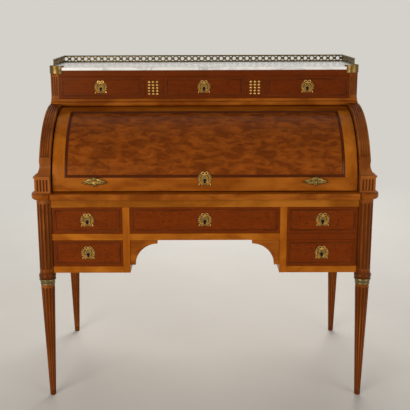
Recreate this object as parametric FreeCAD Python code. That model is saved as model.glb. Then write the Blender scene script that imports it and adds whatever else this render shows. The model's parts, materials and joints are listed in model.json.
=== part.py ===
import FreeCAD, Part
import math
import os

# Neoclassical cylinder desk. Millimetres, +Z up, front towards -Y, origin on the floor under the middle.

V = FreeCAD.Vector

# Overall sizes and clearances
desk_width = 1200.0
desk_depth = 620.0
fit = 0.2
running_gap = 0.6
overrun = 20.0

# Turned legs and corner posts
lobe_radius = 41.5
leg_height = 433.0
leg_foot_radius = 10.5
leg_foot_round = 3.0
leg_top_radius = 24.5
leg_neck_radius = 20.0
bead_height = 20.0
bead_radius = 30.0
post_radius = 26.0
leg_flute_count = 12
post_flute_count = 7
leg_flute_top_radius = 4.4
leg_flute_foot_radius = 2.1
leg_flute_foot_margin = 26.0
leg_flute_top_margin = 14.0
post_flute_radius = 4.4
post_flute_margin = 20.0
flute_lift_share = 0.3

# Bronze collars round the legs
collar_height = 21.0
collar_radius = 28.5
collar_foot_radius = 25.0
collar_waist_radius = 26.0
collar_band_share = 0.45

# Frieze of rails, stiles and drawer openings
bottom_rail_height = 24.0
lower_drawer_height = 96.0
middle_rail_height = 24.0
upper_drawer_height = 95.0
top_rail_height = 33.0
apron_thickness = 22.0
apron_proud = 9.5
stile_width = 25.0
centre_drawer_width = 524.0
bracket_reach = 96.0
bracket_drop = 92.0
bracket_radius = 78.0
bracket_setback = 3.0

# Drawer supports inside the pedestals
dust_board_thickness = 10.0
runner_width = 20.0
guide_height = 36.0

# Frieze drawers
drawer_front_thickness = 20.0
drawer_front_setback = 1.0
drawer_side_thickness = 11.0
drawer_bottom_thickness = 7.0
drawer_back_gap = 23.0
drawer_headroom = 8.0
frame_margin = 9.0
frame_width = 5.0
frame_proud = 2.5
false_joint_width = 1.6
false_joint_depth = 2.0

# Locks and keyhole plates
plate_radius = 24.0
medal_radius = 14.0
medal_rim = 3.0
medal_thickness = 4.0
medal_back = 2.5
shield_thickness = 2.0
ribbon_radius = 4.2
ribbon_tip_radius = 2.4
ribbon_lift = 1.5
ribbon_shares = (
    ((0.12, 0.64), (0.44, 0.98)),
    ((0.32, 0.74), (0.90, 0.46)),
    ((0.90, 0.46), (0.86, -0.04)),
    ((0.86, -0.04), (0.72, -0.66)),
)
keyhole_radius = 3.0
keyhole_slot_width = 2.6
keyhole_slot_drop = 8.0
lock_width = 52.0
lock_height = 40.0
lock_thickness = 12.0

# Waist moulding and writing slide
waist_height = 22.0
waist_nose = 3.0
waist_overhang = 10.0
slide_thickness = 18.0
slide_back_gap = 42.0
slide_lip_depth = 30.0
leather_margin = 75.0
leather_thickness = 1.2
leather_front_margin = 60.0
leather_back_margin = 5.0
bed_thickness = 12.0

# Rolling quarter cylinder
cylinder_setback = 36.0
cylinder_back_gap = 8.0
cylinder_axis_lift = 12.0
cylinder_thickness = 22.0
cylinder_bottom_gap = 2.0
cylinder_top_gap = 1.5
cylinder_end_gap = 5.0
cylinder_top_angle = 98.0
cylinder_stile_width = 43.0
panel_low_angle = 8.6
panel_high_angle = 74.0
panel_setback = 2.0
panel_frame_width = 8.0
arm_thickness = 3.0
arm_width = 14.0
arm_hub_radius = 9.0
arm_low_angle = 12.0
arm_high_angle = 78.0
pivot_radius = 5.0
pivot_clearance = 0.1
pivot_length = 14.0

# Gilt leaf pulls and keyhole plate of the cylinder
cylinder_lock_angle = 7.0
pull_angle = 7.5
pull_inset = 103.0
pull_standoff = 12.0
pull_leaf_length = 40.0
pull_leaf_root_radius = 5.4
pull_leaf_tip_radius = 2.6
pull_stud_radius = 6.0
pull_leaf_shares = ((1.0, -14.0), (0.86, -30.0), (0.68, -58.0), (0.62, -90.0), (0.24, 40.0))

# Curved sides and fluted pilasters
case_inset = 30.0
side_thickness = 30.0
pilaster_width = 39.0
pilaster_proud = 12.0
pilaster_depth = 22.0
pilaster_flute_count = 4
pilaster_flute_radius = 3.2
pilaster_flute_low_angle = 24.0
plinth_outset = 14.0
plinth_front = 26.0
plinth_height = 53.5
plinth_cap_height = 6.0
plinth_cap_proud = 3.0
swelling_height = 44.0
swelling_inset = 3.0
plinth_flute_radius = 3.4
plinth_flute_margin = 9.0

# Back
back_thickness = 22.0
back_inset = 50.0

# Upper case
upper_floor_thickness = 27.0
upper_front_setback = 5.0
upper_moulding_height = 17.0
upper_moulding_proud = 12.0
upper_drawer_opening = 82.0
upper_rail_height = 23.0
upper_drawer_back_gap = 39.0
upper_drawer_side = 8.0
upper_drawer_bottom = 5.0
upper_front_thickness = 16.0
upper_centre_width = 300.0
divider_width = 78.0
divider_recess = 3.0
divider_recess_margin = 8.0
partition_thickness = 10.0
upper_post_width = 31.0
upper_post_round = 10.0
upper_post_flute_radius = 2.6
upper_post_flute_margin = 14.0
upper_post_flute_count = 3
upper_end_thickness = 22.0
upper_back_thickness = 16.0

# Gilt drops on the dividers
drop_count = 3
drop_pitch = 15.0
drop_radius = 3.4
drop_bead_count = 5
drop_bead_pitch = 8.5

# Marble top, brass corner caps and pierced gallery
marble_thickness = 11.5
marble_lobe_radius = 25.0
marble_overhang = 5.0
marble_lobe_proud = 6.0
cap_thickness = 2.5
cap_drop = 11.0
cap_rise = 6.0
cap_sweep = 230.0
gallery_height = 27.0
gallery_thickness = 3.0
gallery_inset = 5.0
gallery_rim = 4.0
gallery_pitch = 26.5
gallery_ring_share = 0.26
gallery_slot_width_share = 0.42
gallery_slot_height_share = 0.24

# Nest of pigeonholes and small drawers
nest_setback = 32.0
nest_board = 9.0
nest_slide_gap = 1.5
nest_drawer_height = 70.0
nest_hole_height = 66.0
nest_hole_count = 6
nest_drawer_count = 3
nest_end_gap = 2.0
nest_sweep_gap = 3.0
nest_drawer_side = 6.0
nest_drawer_front = 12.0
nest_drawer_bottom = 4.0
nest_drawer_back_gap = 4.0
knob_radius = 7.0
knob_neck_radius = 3.5
knob_neck_length = 5.0

# Places that follow from the sizes above
leg_x = desk_width / 2 - lobe_radius
leg_y = desk_depth / 2 - lobe_radius
collar_top = leg_height + collar_height
frieze_bottom = collar_top + bead_height
lower_drawer_z = frieze_bottom + bottom_rail_height
middle_rail_z = lower_drawer_z + lower_drawer_height
upper_drawer_z = middle_rail_z + middle_rail_height
top_rail_z = upper_drawer_z + upper_drawer_height
waist_bottom = top_rail_z + top_rail_height
waist_top = waist_bottom + waist_height
apron_outer_x = leg_x + apron_proud
apron_inner_x = apron_outer_x - apron_thickness
frieze_y = -leg_y - apron_proud
frieze_back_y = frieze_y + apron_thickness
rear_apron_y = leg_y + apron_proud - apron_thickness
stile_inner_x = centre_drawer_width / 2
stile_outer_x = stile_inner_x + stile_width
side_drawer_x = leg_x - post_radius
drawer_front_y = frieze_y + drawer_front_setback
drawer_depth = rear_apron_y - drawer_back_gap - drawer_front_y - drawer_front_thickness
case_half_width = desk_width / 2 - case_inset
side_inner_x = case_half_width - pilaster_width
side_outer_x = side_inner_x + side_thickness
ledge_front_y = -desk_depth / 2
back_face_y = desk_depth / 2 - back_inset
back_inner_y = back_face_y - back_thickness
slide_bottom = waist_top - slide_thickness
bed_top = slide_bottom - fit
bed_bottom = bed_top - bed_thickness
slide_tail_y = back_inner_y - slide_back_gap
cylinder_front_y = ledge_front_y + cylinder_setback
cylinder_back_y = back_inner_y - cylinder_back_gap
cylinder_radius = (cylinder_back_y - cylinder_front_y) / 2
pilaster_radius = cylinder_radius + pilaster_proud
axis_y = (cylinder_back_y + cylinder_front_y) / 2
axis_z = waist_top + cylinder_axis_lift
cylinder_half_width = side_inner_x - cylinder_end_gap
panel_half_width = cylinder_half_width - cylinder_stile_width
pull_x = panel_half_width - pull_inset
cylinder_inner_radius = cylinder_radius - cylinder_thickness
upper_floor_z = axis_z + cylinder_radius + cylinder_top_gap
upper_drawers_z = upper_floor_z + upper_floor_thickness
upper_rail_z = upper_drawers_z + upper_drawer_opening
marble_z = upper_rail_z + upper_rail_height
marble_top_z = marble_z + marble_thickness
upper_front_y = axis_y + upper_front_setback
moulding_y = upper_front_y - upper_moulding_proud
upper_drawer_back_y = back_face_y - upper_back_thickness - upper_drawer_back_gap
upper_post_x = case_half_width - upper_post_width
marble_front_y = upper_front_y - marble_overhang
lobe_x = case_half_width - marble_lobe_radius
lobe_y = marble_front_y - marble_lobe_proud + marble_lobe_radius
plinth_top = waist_top + plinth_height
plinth_cap_top = plinth_top + plinth_cap_height
swelling_top = plinth_cap_top + swelling_height
nest_front_y = axis_y + nest_setback
nest_base_z = waist_top + nest_slide_gap
nest_drawer_z = nest_base_z + nest_board
nest_shelf_z = nest_drawer_z + nest_drawer_height
nest_hole_z = nest_shelf_z + nest_board
nest_top_z = nest_hole_z + nest_hole_height
nest_half_width = cylinder_half_width - nest_end_gap
nest_reach = cylinder_inner_radius - nest_sweep_gap


# Helpers
def box(x0, x1, y0, y1, z0, z1):
    """Square block between two corners."""
    return Part.makeBox(x1 - x0, y1 - y0, z1 - z0, V(x0, y0, z0))


def disc(radius, height, x, y, z):
    """Upright round block."""
    return Part.makeCylinder(radius, height, V(x, y, z))


def mirrored(shape):
    """The same piece on the other side of the desk."""
    return shape.mirror(V(0, 0, 0), V(1, 0, 0))


def pair(shape):
    """A right piece and its left twin."""
    return [shape, mirrored(shape)]


def outline(start, *steps):
    """Closed wire through points, where a tuple is an arc through its first point to its second."""
    edges = []
    here = start
    for step in steps:
        if isinstance(step, tuple):
            edges.append(Part.Arc(here, step[0], step[1]).toShape())
            here = step[1]
        else:
            edges.append(Part.makeLine(here, step))
            here = step
    edges.append(Part.makeLine(here, start))
    return Part.Wire(edges)


def turned(start, *steps):
    """Solid turned about the upright axis from a half outline in X and Z."""
    return Part.Face(outline(start, *steps)).revolve(V(0, 0, 0), V(0, 0, 1), 360)


def placed(shape, x, y, z):
    """A copy of a piece moved to a place."""
    copy = shape.copy()
    copy.translate(V(x, y, z))
    return copy


def capsule(low, high, low_radius, high_radius):
    """Round-ended tapering rod, used to cut flutes and to build leaves."""
    half = math.sqrt(0.5)
    length = (high - low).Length
    low_turn = (V(low_radius * half, 0, -low_radius * half), V(low_radius, 0, 0))
    high_turn = (V(high_radius * half, 0, length + high_radius * half), V(0, 0, length + high_radius))
    rod = turned(V(0, 0, -low_radius), low_turn, V(high_radius, 0, length), high_turn)
    rod.Placement = FreeCAD.Placement(low, FreeCAD.Rotation(V(0, 0, 1), high - low))
    return rod


def polar(radius, degrees, x=0.0):
    """Point at a radius from the cylinder's axis and an angle above its front."""
    angle = math.radians(degrees)
    return V(x, axis_y - radius * math.cos(angle), axis_z + radius * math.sin(angle))


def arc_band(inner, outer, start, stop, x0, x1):
    """Part of a tube about the cylinder's axis."""
    middle = (start + stop) / 2
    wire = outline(
        polar(inner, start, x0),
        (polar(inner, middle, x0), polar(inner, stop, x0)),
        polar(outer, stop, x0),
        (polar(outer, middle, x0), polar(outer, start, x0)),
    )
    return Part.Face(wire).extrude(V(x1 - x0, 0, 0))


# Legs and collars
def leg():
    """Tapered leg, bead and corner post in one turned piece on its own axis."""
    half = math.sqrt(0.5)
    foot_inner = leg_foot_radius - leg_foot_round
    foot_turn = V(foot_inner + leg_foot_round * half, 0, leg_foot_round * (1 - half))
    bead_middle = V(bead_radius, 0, collar_top + bead_height / 2)
    return turned(
        V(0, 0, 0),
        V(foot_inner, 0, 0),
        (foot_turn, V(leg_foot_radius, 0, leg_foot_round)),
        V(leg_top_radius, 0, leg_height),
        V(leg_neck_radius, 0, leg_height),
        V(leg_neck_radius, 0, collar_top),
        V(post_radius, 0, collar_top),
        (bead_middle, V(post_radius, 0, frieze_bottom)),
        V(post_radius, 0, waist_bottom),
        V(0, 0, waist_bottom),
    )


def leg_surface_radius(z):
    """Radius of the tapered leg at a height."""
    return leg_foot_radius + (leg_top_radius - leg_foot_radius) * z / leg_height


def leg_flutes():
    """Cutters for the flutes all round the tapered leg."""
    low_z = leg_flute_foot_margin
    high_z = leg_height - leg_flute_top_margin
    low_x = leg_surface_radius(low_z) + flute_lift_share * leg_flute_foot_radius
    high_x = leg_surface_radius(high_z) + flute_lift_share * leg_flute_top_radius
    first = capsule(V(low_x, 0, low_z), V(high_x, 0, high_z), leg_flute_foot_radius, leg_flute_top_radius)
    turns = [360.0 * step / leg_flute_count for step in range(leg_flute_count)]
    return [rotated(first, turn) for turn in turns]


def rotated(shape, degrees):
    """A copy of a piece turned about the upright axis."""
    copy = shape.copy()
    copy.rotate(V(0, 0, 0), V(0, 0, 1), degrees)
    return copy


def post_flutes():
    """Cutters for the flutes on the open side of a corner post, centred on the front right diagonal."""
    x = post_radius + flute_lift_share * post_flute_radius
    low = V(x, 0, frieze_bottom + post_flute_margin)
    high = V(x, 0, waist_bottom - post_flute_margin)
    first = capsule(low, high, post_flute_radius, post_flute_radius)
    pitch = 360.0 / leg_flute_count
    middle = (post_flute_count - 1) / 2
    return [rotated(first, pitch * (step - middle) - 45.0) for step in range(post_flute_count)]


def fluted_leg():
    """The front right leg on its own axis."""
    return leg().cut(leg_flutes() + post_flutes())


def collar():
    """Bronze ring round the neck of a leg, narrow below and with a wide band above."""
    band_z = collar_top - collar_band_share * collar_height
    bore = leg_neck_radius + fit
    return turned(
        V(bore, 0, leg_height + fit),
        V(collar_foot_radius, 0, leg_height + fit),
        V(collar_waist_radius, 0, band_z),
        V(collar_radius, 0, band_z),
        V(collar_radius, 0, collar_top - fit),
        V(bore, 0, collar_top - fit),
    )


def leg_places():
    """The four leg axes with the turn that points a post's flutes outwards."""
    return {
        "front_leg_right": (leg_x, -leg_y, 0.0),
        "back_leg_right": (leg_x, leg_y, 90.0),
        "back_leg_left": (-leg_x, leg_y, 180.0),
        "front_leg_left": (-leg_x, -leg_y, 270.0),
    }


def post_clearance():
    """The four posts, a little enlarged, to trim what meets them."""
    height = waist_top - collar_top
    return [disc(post_radius + fit, height, x, y, collar_top) for x, y, turn in leg_places().values()]


# Frieze
def side_apron():
    """Right side board between the posts."""
    board = box(apron_inner_x, apron_outer_x, -leg_y, leg_y, frieze_bottom, waist_bottom)
    return board.cut(post_clearance())


def back_apron():
    """Back board between the posts, cut away at the kneehole."""
    board = box(-leg_x, leg_x, rear_apron_y, rear_apron_y + apron_thickness, frieze_bottom, waist_bottom)
    low_z = frieze_bottom - overrun
    high_y = rear_apron_y + apron_thickness + overrun
    hole = box(-stile_inner_x, stile_inner_x, rear_apron_y - overrun, high_y, low_z, middle_rail_z)
    return board.cut([hole] + post_clearance())


def frieze_rail(x0, x1, z, height):
    """Rail of the front frame, trimmed to the posts where it meets them."""
    return box(x0, x1, frieze_y, frieze_back_y, z, z + height).cut(post_clearance())


def frieze_rails():
    """Middle rail on the left, bottom rails on both sides and the rail under the centre drawer."""
    low = frieze_rail(stile_outer_x, leg_x, frieze_bottom, bottom_rail_height)
    middle = frieze_rail(-leg_x, -stile_outer_x, middle_rail_z, middle_rail_height)
    centre = frieze_rail(-stile_inner_x, stile_inner_x, middle_rail_z, middle_rail_height)
    return pair(low) + [middle, centre]


def bracket():
    """Concave bracket in the right corner of the kneehole."""
    inner_x = stile_inner_x - bracket_reach
    low_z = middle_rail_z - bracket_drop
    half = math.sqrt(0.5)
    y = frieze_y + bracket_setback
    middle = V(inner_x + bracket_radius * half, y, low_z + bracket_radius * half)
    wire = outline(
        V(inner_x, y, middle_rail_z),
        V(inner_x, y, low_z + bracket_radius),
        (middle, V(inner_x + bracket_radius, y, low_z)),
        V(stile_inner_x, y, low_z),
        V(stile_inner_x, y, middle_rail_z),
    )
    return Part.Face(wire).extrude(V(0, frieze_back_y - y, 0))


def drawer_supports():
    """Dust boards, runners and side guides that carry the frieze drawers."""
    y0 = frieze_back_y
    y1 = rear_apron_y
    bottom_z = lower_drawer_z - dust_board_thickness
    dust_z = upper_drawer_z - dust_board_thickness
    bottom = box(stile_outer_x, apron_inner_x, y0, y1, bottom_z, lower_drawer_z).cut(post_clearance())
    dust = box(-apron_inner_x, -stile_outer_x, y0, y1, dust_z, upper_drawer_z).cut(post_clearance())
    runner = box(stile_inner_x - runner_width, stile_inner_x, y0, y1, dust_z, upper_drawer_z)
    guide_y = leg_y - post_radius - fit
    guide_top = lower_drawer_z + guide_height
    low_guide = box(side_drawer_x, apron_inner_x, -guide_y, guide_y, lower_drawer_z, guide_top)
    high_guide = placed(mirrored(low_guide), 0, 0, upper_drawer_z - lower_drawer_z)
    return pair(bottom) + [dust] + pair(runner) + pair(low_guide) + [high_guide]


# Waist
def lobed_board(radius, edge_x, z, height):
    """Right waist board: a strip along the side with a round lobe over each post."""
    strip = box(side_inner_x, edge_x, -leg_y, leg_y, z, z + height)
    front = disc(radius, height, leg_x, -leg_y, z)
    back = disc(radius, height, leg_x, leg_y, z)
    low_y = -leg_y - lobe_radius - overrun
    inner = box(leg_x - lobe_radius - overrun, side_inner_x, low_y, -low_y, z, z + height)
    return strip.fuse([front, back]).removeSplitter().cut(inner)


def waist_side():
    """Right waist moulding with a rounded nose made of a narrow, a wide and a narrow layer."""
    outer_x = apron_outer_x + waist_overhang
    small = lobe_radius - waist_nose
    body_height = waist_height - waist_nose - waist_nose
    low = lobed_board(small, outer_x - waist_nose, waist_bottom, waist_nose)
    body = lobed_board(lobe_radius, outer_x, waist_bottom + waist_nose, body_height)
    top = lobed_board(small, outer_x - waist_nose, waist_top - waist_nose, waist_nose)
    return low.fuse([body, top]).removeSplitter()


def waist_back():
    """Strip of the waist moulding across the back."""
    outer_y = leg_y + apron_proud + waist_overhang
    return box(-side_inner_x, side_inner_x, back_inner_y, outer_y, waist_bottom, waist_top)


def slide_bed():
    """Board that the writing slide runs on."""
    board = box(-side_inner_x, side_inner_x, frieze_back_y, back_inner_y, bed_bottom, bed_top)
    return board.cut(post_clearance())


def leather_box(thickness):
    """The writing leather, let into the slide from its top face."""
    half_width = side_inner_x - leather_margin
    front_y = ledge_front_y + leather_front_margin
    back_y = nest_front_y - leather_back_margin
    top_z = waist_top - fit
    return box(-half_width, half_width, front_y, back_y, top_z - thickness, top_z)


def writing_slide():
    """Pull-out writing board whose thick front lip makes the ledge below the cylinder."""
    half_width = side_inner_x - running_gap
    lip_y = ledge_front_y + slide_lip_depth
    board = box(-half_width, half_width, lip_y, slide_tail_y, slide_bottom, waist_top)
    lip = box(-half_width, half_width, ledge_front_y, lip_y, waist_bottom + fit, waist_top)
    pocket = leather_box(leather_thickness)
    pocket = pocket.fuse(placed(pocket, 0, 0, leather_thickness / 2)).removeSplitter()
    return board.fuse(lip).removeSplitter().cut(pocket)


# Cylinder
def cylinder_bottom_angle():
    """Angle of the closed cylinder's lower edge, just above the slide."""
    return -math.degrees(math.asin((cylinder_axis_lift - cylinder_bottom_gap) / cylinder_radius))


def cylinder_shell(inner, outer):
    """The whole curved fall between two radii."""
    width = cylinder_half_width
    return arc_band(inner, outer, cylinder_bottom_angle(), cylinder_top_angle, -width, width)


def panel_opening(half_width, inner, outer):
    """Curved block through the middle of the fall."""
    return arc_band(inner, outer, panel_low_angle, panel_high_angle, -half_width, half_width)


def cylinder_frame():
    """Stiles and rails of the fall, open in the middle for the panel."""
    shell = cylinder_shell(cylinder_inner_radius, cylinder_radius)
    width = panel_half_width
    return shell.cut(panel_opening(width, cylinder_inner_radius - overrun, cylinder_radius + overrun))


def cylinder_panel():
    """Figured panel in the fall, with its edge a little lower than its field."""
    width = panel_half_width - fit
    outer = cylinder_radius - panel_setback
    inner = cylinder_inner_radius + panel_setback
    slack = math.degrees(fit / cylinder_radius)
    edge = math.degrees(panel_frame_width / cylinder_radius)
    low = panel_low_angle + slack
    high = panel_high_angle - slack
    body = arc_band(inner, outer - panel_setback, low, high, -width, width)
    field_width = width - panel_frame_width
    field = arc_band(outer - panel_setback, outer, low + edge, high - edge, -field_width, field_width)
    return body.fuse(field).removeSplitter()


def arm_bar(degrees, x):
    """Flat bar from the pivot to the inside of the fall."""
    reach = cylinder_radius - cylinder_thickness / 2
    bar = box(x, x + arm_thickness, -reach, 0, -arm_width / 2, arm_width / 2)
    bar.rotate(V(0, 0, 0), V(-1, 0, 0), degrees)
    return placed(bar, 0, axis_y, axis_z)


def cylinder_arm():
    """Right iron arm: two bars on a hub with the pivot that turns in the side."""
    x = cylinder_half_width
    centre = V(x, axis_y, axis_z)
    hub = Part.makeCylinder(arm_hub_radius, arm_thickness, centre, V(1, 0, 0))
    pin_length = cylinder_end_gap + pivot_length
    pin = Part.makeCylinder(pivot_radius, pin_length, centre, V(1, 0, 0))
    return hub.fuse([pin, arm_bar(arm_low_angle, x), arm_bar(arm_high_angle, x)]).removeSplitter()


def on_cylinder(shape, degrees, radius):
    """A piece drawn facing -Y at the origin, moved to an angle on the cylinder's face."""
    copy = shape.copy()
    copy.rotate(V(0, 0, 0), V(-1, 0, 0), degrees)
    point = polar(radius, degrees)
    copy.translate(point)
    return copy


def cylinder_core(radius):
    """Solid round bar about the cylinder's axis, to seat trim on its face."""
    width = cylinder_half_width
    return Part.makeCylinder(radius, width + width, V(-width, axis_y, axis_z), V(1, 0, 0))


def cylinder_lock():
    """Keyhole plate seated on the fall, and the lock case behind it."""
    plate = on_cylinder(keyhole_plate(), cylinder_lock_angle, cylinder_radius)
    plate = plate.cut(cylinder_core(cylinder_radius + fit / 2))
    case_radius = math.sqrt(cylinder_inner_radius ** 2 - (lock_height / 2) ** 2) - fit
    case = on_cylinder(lock_case(), cylinder_lock_angle, case_radius)
    return [plate, case]


def pull():
    """Leaf spray cast with the stud that holds it to the fall, drawn facing -Y."""
    root = V(0, -pull_standoff, 0)
    stud_length = pull_standoff + pull_stud_radius
    stud = Part.makeCylinder(pull_stud_radius, stud_length, V(0, pull_stud_radius, 0), V(0, -1, 0))
    leaves = []
    for share, degrees in pull_leaf_shares:
        angle = math.radians(degrees)
        length = share * pull_leaf_length
        for side in (-1, 1):
            tip = root + V(side * length * math.cos(angle), 0, length * math.sin(angle))
            leaves.append(capsule(root, tip, pull_leaf_root_radius, pull_leaf_tip_radius))
    return stud.fuse(leaves)


def cylinder_pull():
    """Right pull on the lower rail of the fall."""
    piece = placed(on_cylinder(pull(), pull_angle, cylinder_radius), pull_x, 0, 0)
    return piece.cut(cylinder_core(cylinder_radius + fit / 2))


# Locks
def keyhole_plate():
    """Medal with a keyhole and a ribbon bow, facing -Y, with a back that is still to be seated."""
    front = V(0, -1, 0)
    medal = Part.makeCylinder(medal_radius, medal_thickness + medal_back, V(0, medal_back, 0), front)
    hollow_radius = medal_radius - medal_rim
    hollow = Part.makeCylinder(hollow_radius, medal_thickness, V(0, -shield_thickness, 0), front)
    rods = []
    for (x0, z0), (x1, z1) in ribbon_shares:
        for side in (-plate_radius, plate_radius):
            low = V(side * x0, -ribbon_lift, plate_radius * z0)
            high = V(side * x1, -ribbon_lift, plate_radius * z1)
            rods.append(capsule(low, high, ribbon_radius, ribbon_tip_radius))
    return medal.cut(hollow).fuse(rods).cut(keyhole())


def keyhole():
    """Round hole with a slot below it."""
    hole = Part.makeCylinder(keyhole_radius, overrun, V(0, overrun / 2, keyhole_radius), V(0, -1, 0))
    half = keyhole_slot_width / 2
    return hole.fuse(box(-half, half, -overrun / 2, overrun / 2, -keyhole_slot_drop, keyhole_radius))


def lock_case():
    """Square iron lock case behind a keyhole, with its front at the origin."""
    return box(-lock_width / 2, lock_width / 2, 0, lock_thickness, -lock_height / 2, lock_height / 2)


def drawer_lock(front, x, y, z, thickness):
    """Keyhole plate seated on a drawer front and the lock case let into its back."""
    plate = placed(keyhole_plate(), x, y, z).cut(front)
    case = placed(lock_case(), x, y + thickness - lock_thickness, z)
    return [plate, case]


def lock_mortise(x, y, z, thickness):
    """Pocket for the lock case, open at the back of a drawer front."""
    half_width = lock_width / 2 + fit
    half_height = lock_height / 2 + fit
    y0 = y + thickness - lock_thickness
    y1 = y + thickness + overrun
    return box(x - half_width, x + half_width, y0, y1, z - half_height, z + half_height)


# Drawers
def front_frame(x0, x1, y, z0, z1):
    """Thin raised moulding frame on a drawer front."""
    edge = frame_margin
    outer = box(x0 + edge, x1 - edge, y - frame_proud, y, z0 + edge, z1 - edge)
    inset = frame_margin + frame_width
    inner = box(x0 + inset, x1 - inset, y - frame_proud - overrun, y + overrun, z0 + inset, z1 - inset)
    return outer.cut(inner)


def false_joint(x0, x1, y, z):
    """Scored line that makes one deep front look like two."""
    half = false_joint_width / 2
    return box(x0 - overrun, x1 + overrun, y - overrun, y + false_joint_depth, z - half, z + half)


def drawer_front(x0, x1, spans, y, thickness):
    """Drawer front with a raised frame and a lock pocket in each of its spans, stacked from below."""
    x0 = x0 + running_gap
    x1 = x1 - running_gap
    middle = (x0 + x1) / 2
    low = spans[0][0] + running_gap
    high = spans[-1][1] - running_gap
    front = box(x0, x1, y, y + thickness, low, high)
    front = front.fuse([front_frame(x0, x1, y, z0, z1) for z0, z1 in spans]).removeSplitter()
    cutters = [lock_mortise(middle, y, (z0 + z1) / 2, thickness) for z0, z1 in spans]
    cutters += [false_joint(x0, x1, y, z0) for z0, z1 in spans[1:]]
    cutters += [false_joint(x0, x1, y, z1) for z0, z1 in spans[:-1]]
    return front.cut(cutters)


def drawer_box(x0, x1, y0, depth, z0, height, side, bottom):
    """Two sides, a back and a bottom behind a drawer front."""
    x0 = x0 + running_gap
    x1 = x1 - running_gap
    z0 = z0 + fit
    z1 = z0 + height
    y1 = y0 + depth
    left = box(x0, x0 + side, y0, y1, z0, z1)
    right = box(x1 - side, x1, y0, y1, z0, z1)
    back = box(x0 + side, x1 - side, y1 - side, y1, z0, z1)
    floor = box(x0 + side, x1 - side, y0, y1 - side, z0, z0 + bottom)
    return [left, right, back, floor]


def drawer_locks(front, x0, x1, spans, y, thickness):
    """One lock in the middle of each span of a drawer front."""
    locks = []
    for z0, z1 in spans:
        locks += drawer_lock(front, (x0 + x1) / 2, y, (z0 + z1) / 2, thickness)
    return locks


def frieze_drawer(name, x0, x1, spans):
    """Front, box and locks of one frieze drawer."""
    y = drawer_front_y
    thickness = drawer_front_thickness
    front = drawer_front(x0, x1, spans, y, thickness)
    z0 = spans[0][0]
    height = spans[-1][1] - z0 - drawer_headroom
    side = drawer_side_thickness
    bottom = drawer_bottom_thickness
    return {
        name + "_front": [front],
        name + "_box": drawer_box(x0, x1, y + thickness, drawer_depth, z0, height, side, bottom),
        name + "_lock": drawer_locks(front, x0, x1, spans, y, thickness),
    }


def frieze_drawers():
    """Two drawers on the left, a wide one in the middle and a deep one on the right with a false joint."""
    low = (lower_drawer_z, middle_rail_z)
    high = (upper_drawer_z, top_rail_z)
    outer = side_drawer_x
    inner = stile_outer_x
    nodes = frieze_drawer("left_top_drawer", -outer, -inner, [high])
    nodes.update(frieze_drawer("left_low_drawer", -outer, -inner, [low]))
    nodes.update(frieze_drawer("centre_drawer", -stile_inner_x, stile_inner_x, [high]))
    nodes.update(frieze_drawer("right_deep_drawer", inner, outer, [low, high]))
    return nodes


def upper_drawer(name, x0, x1):
    """Front with its box, and the lock, of one drawer under the marble."""
    y = upper_front_y + drawer_front_setback
    thickness = upper_front_thickness
    z0 = upper_drawers_z
    spans = [(z0, upper_rail_z)]
    front = drawer_front(x0, x1, spans, y, thickness)
    height = upper_drawer_opening - drawer_headroom
    depth = upper_drawer_back_y - y - thickness
    rest = drawer_box(x0, x1, y + thickness, depth, z0, height, upper_drawer_side, upper_drawer_bottom)
    return {
        name: [front] + rest,
        name + "_lock": drawer_locks(front, x0, x1, spans, y, thickness),
    }


def upper_drawers():
    """Three drawers in a row under the marble."""
    half = upper_centre_width / 2
    inner = half + divider_width
    nodes = upper_drawer("upper_drawer_left", -upper_post_x, -inner)
    nodes.update(upper_drawer("upper_drawer_centre", -half, half))
    nodes.update(upper_drawer("upper_drawer_right", inner, upper_post_x))
    return nodes


# Curved sides, pilasters and back
def curved_side():
    """Right side board whose front edge follows the cylinder, with a hole for the pivot."""
    radius = pilaster_radius - pilaster_depth
    x = side_inner_x
    foot_y = plinth_back_y()
    foot_angle = math.degrees(math.asin((swelling_top - axis_z) / radius))
    top_angle = math.degrees(math.acos((axis_y - moulding_y) / radius))
    wire = outline(
        V(x, foot_y, waist_top),
        polar(radius, foot_angle, x),
        (polar(radius, (foot_angle + top_angle) / 2, x), polar(radius, top_angle, x)),
        V(x, moulding_y, upper_floor_z),
        V(x, back_face_y, upper_floor_z),
        V(x, back_face_y, waist_top),
    )
    board = Part.Face(wire).extrude(V(side_thickness, 0, 0))
    deep = pivot_length + running_gap
    hole = Part.makeCylinder(pivot_radius + pivot_clearance, deep, V(x, axis_y, axis_z), V(1, 0, 0))
    return board.cut(hole)


def plinth_back_y():
    """Where the curved board's edge stands behind the pilaster's plinth."""
    radius = pilaster_radius - pilaster_depth
    rise = swelling_top - axis_z
    return axis_y - math.sqrt(radius ** 2 - rise ** 2)


def pilaster_band():
    """Curved strip on the front edge of the right side board, with flutes along it."""
    inner = pilaster_radius - pilaster_depth
    low = math.degrees(math.asin((swelling_top - axis_z) / pilaster_radius))
    low_inner = math.degrees(math.asin((swelling_top - axis_z) / inner))
    high = math.degrees(math.acos((axis_y - moulding_y) / pilaster_radius))
    high_inner = math.degrees(math.acos((axis_y - moulding_y) / inner))
    x = side_inner_x
    wire = outline(
        polar(inner, low_inner, x),
        (polar(inner, (low_inner + high_inner) / 2, x), polar(inner, high_inner, x)),
        polar(pilaster_radius, high, x),
        (polar(pilaster_radius, (low + high) / 2, x), polar(pilaster_radius, low, x)),
    )
    band = Part.Face(wire).extrude(V(case_half_width - x, 0, 0))
    return band.cut(pilaster_flutes())


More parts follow.
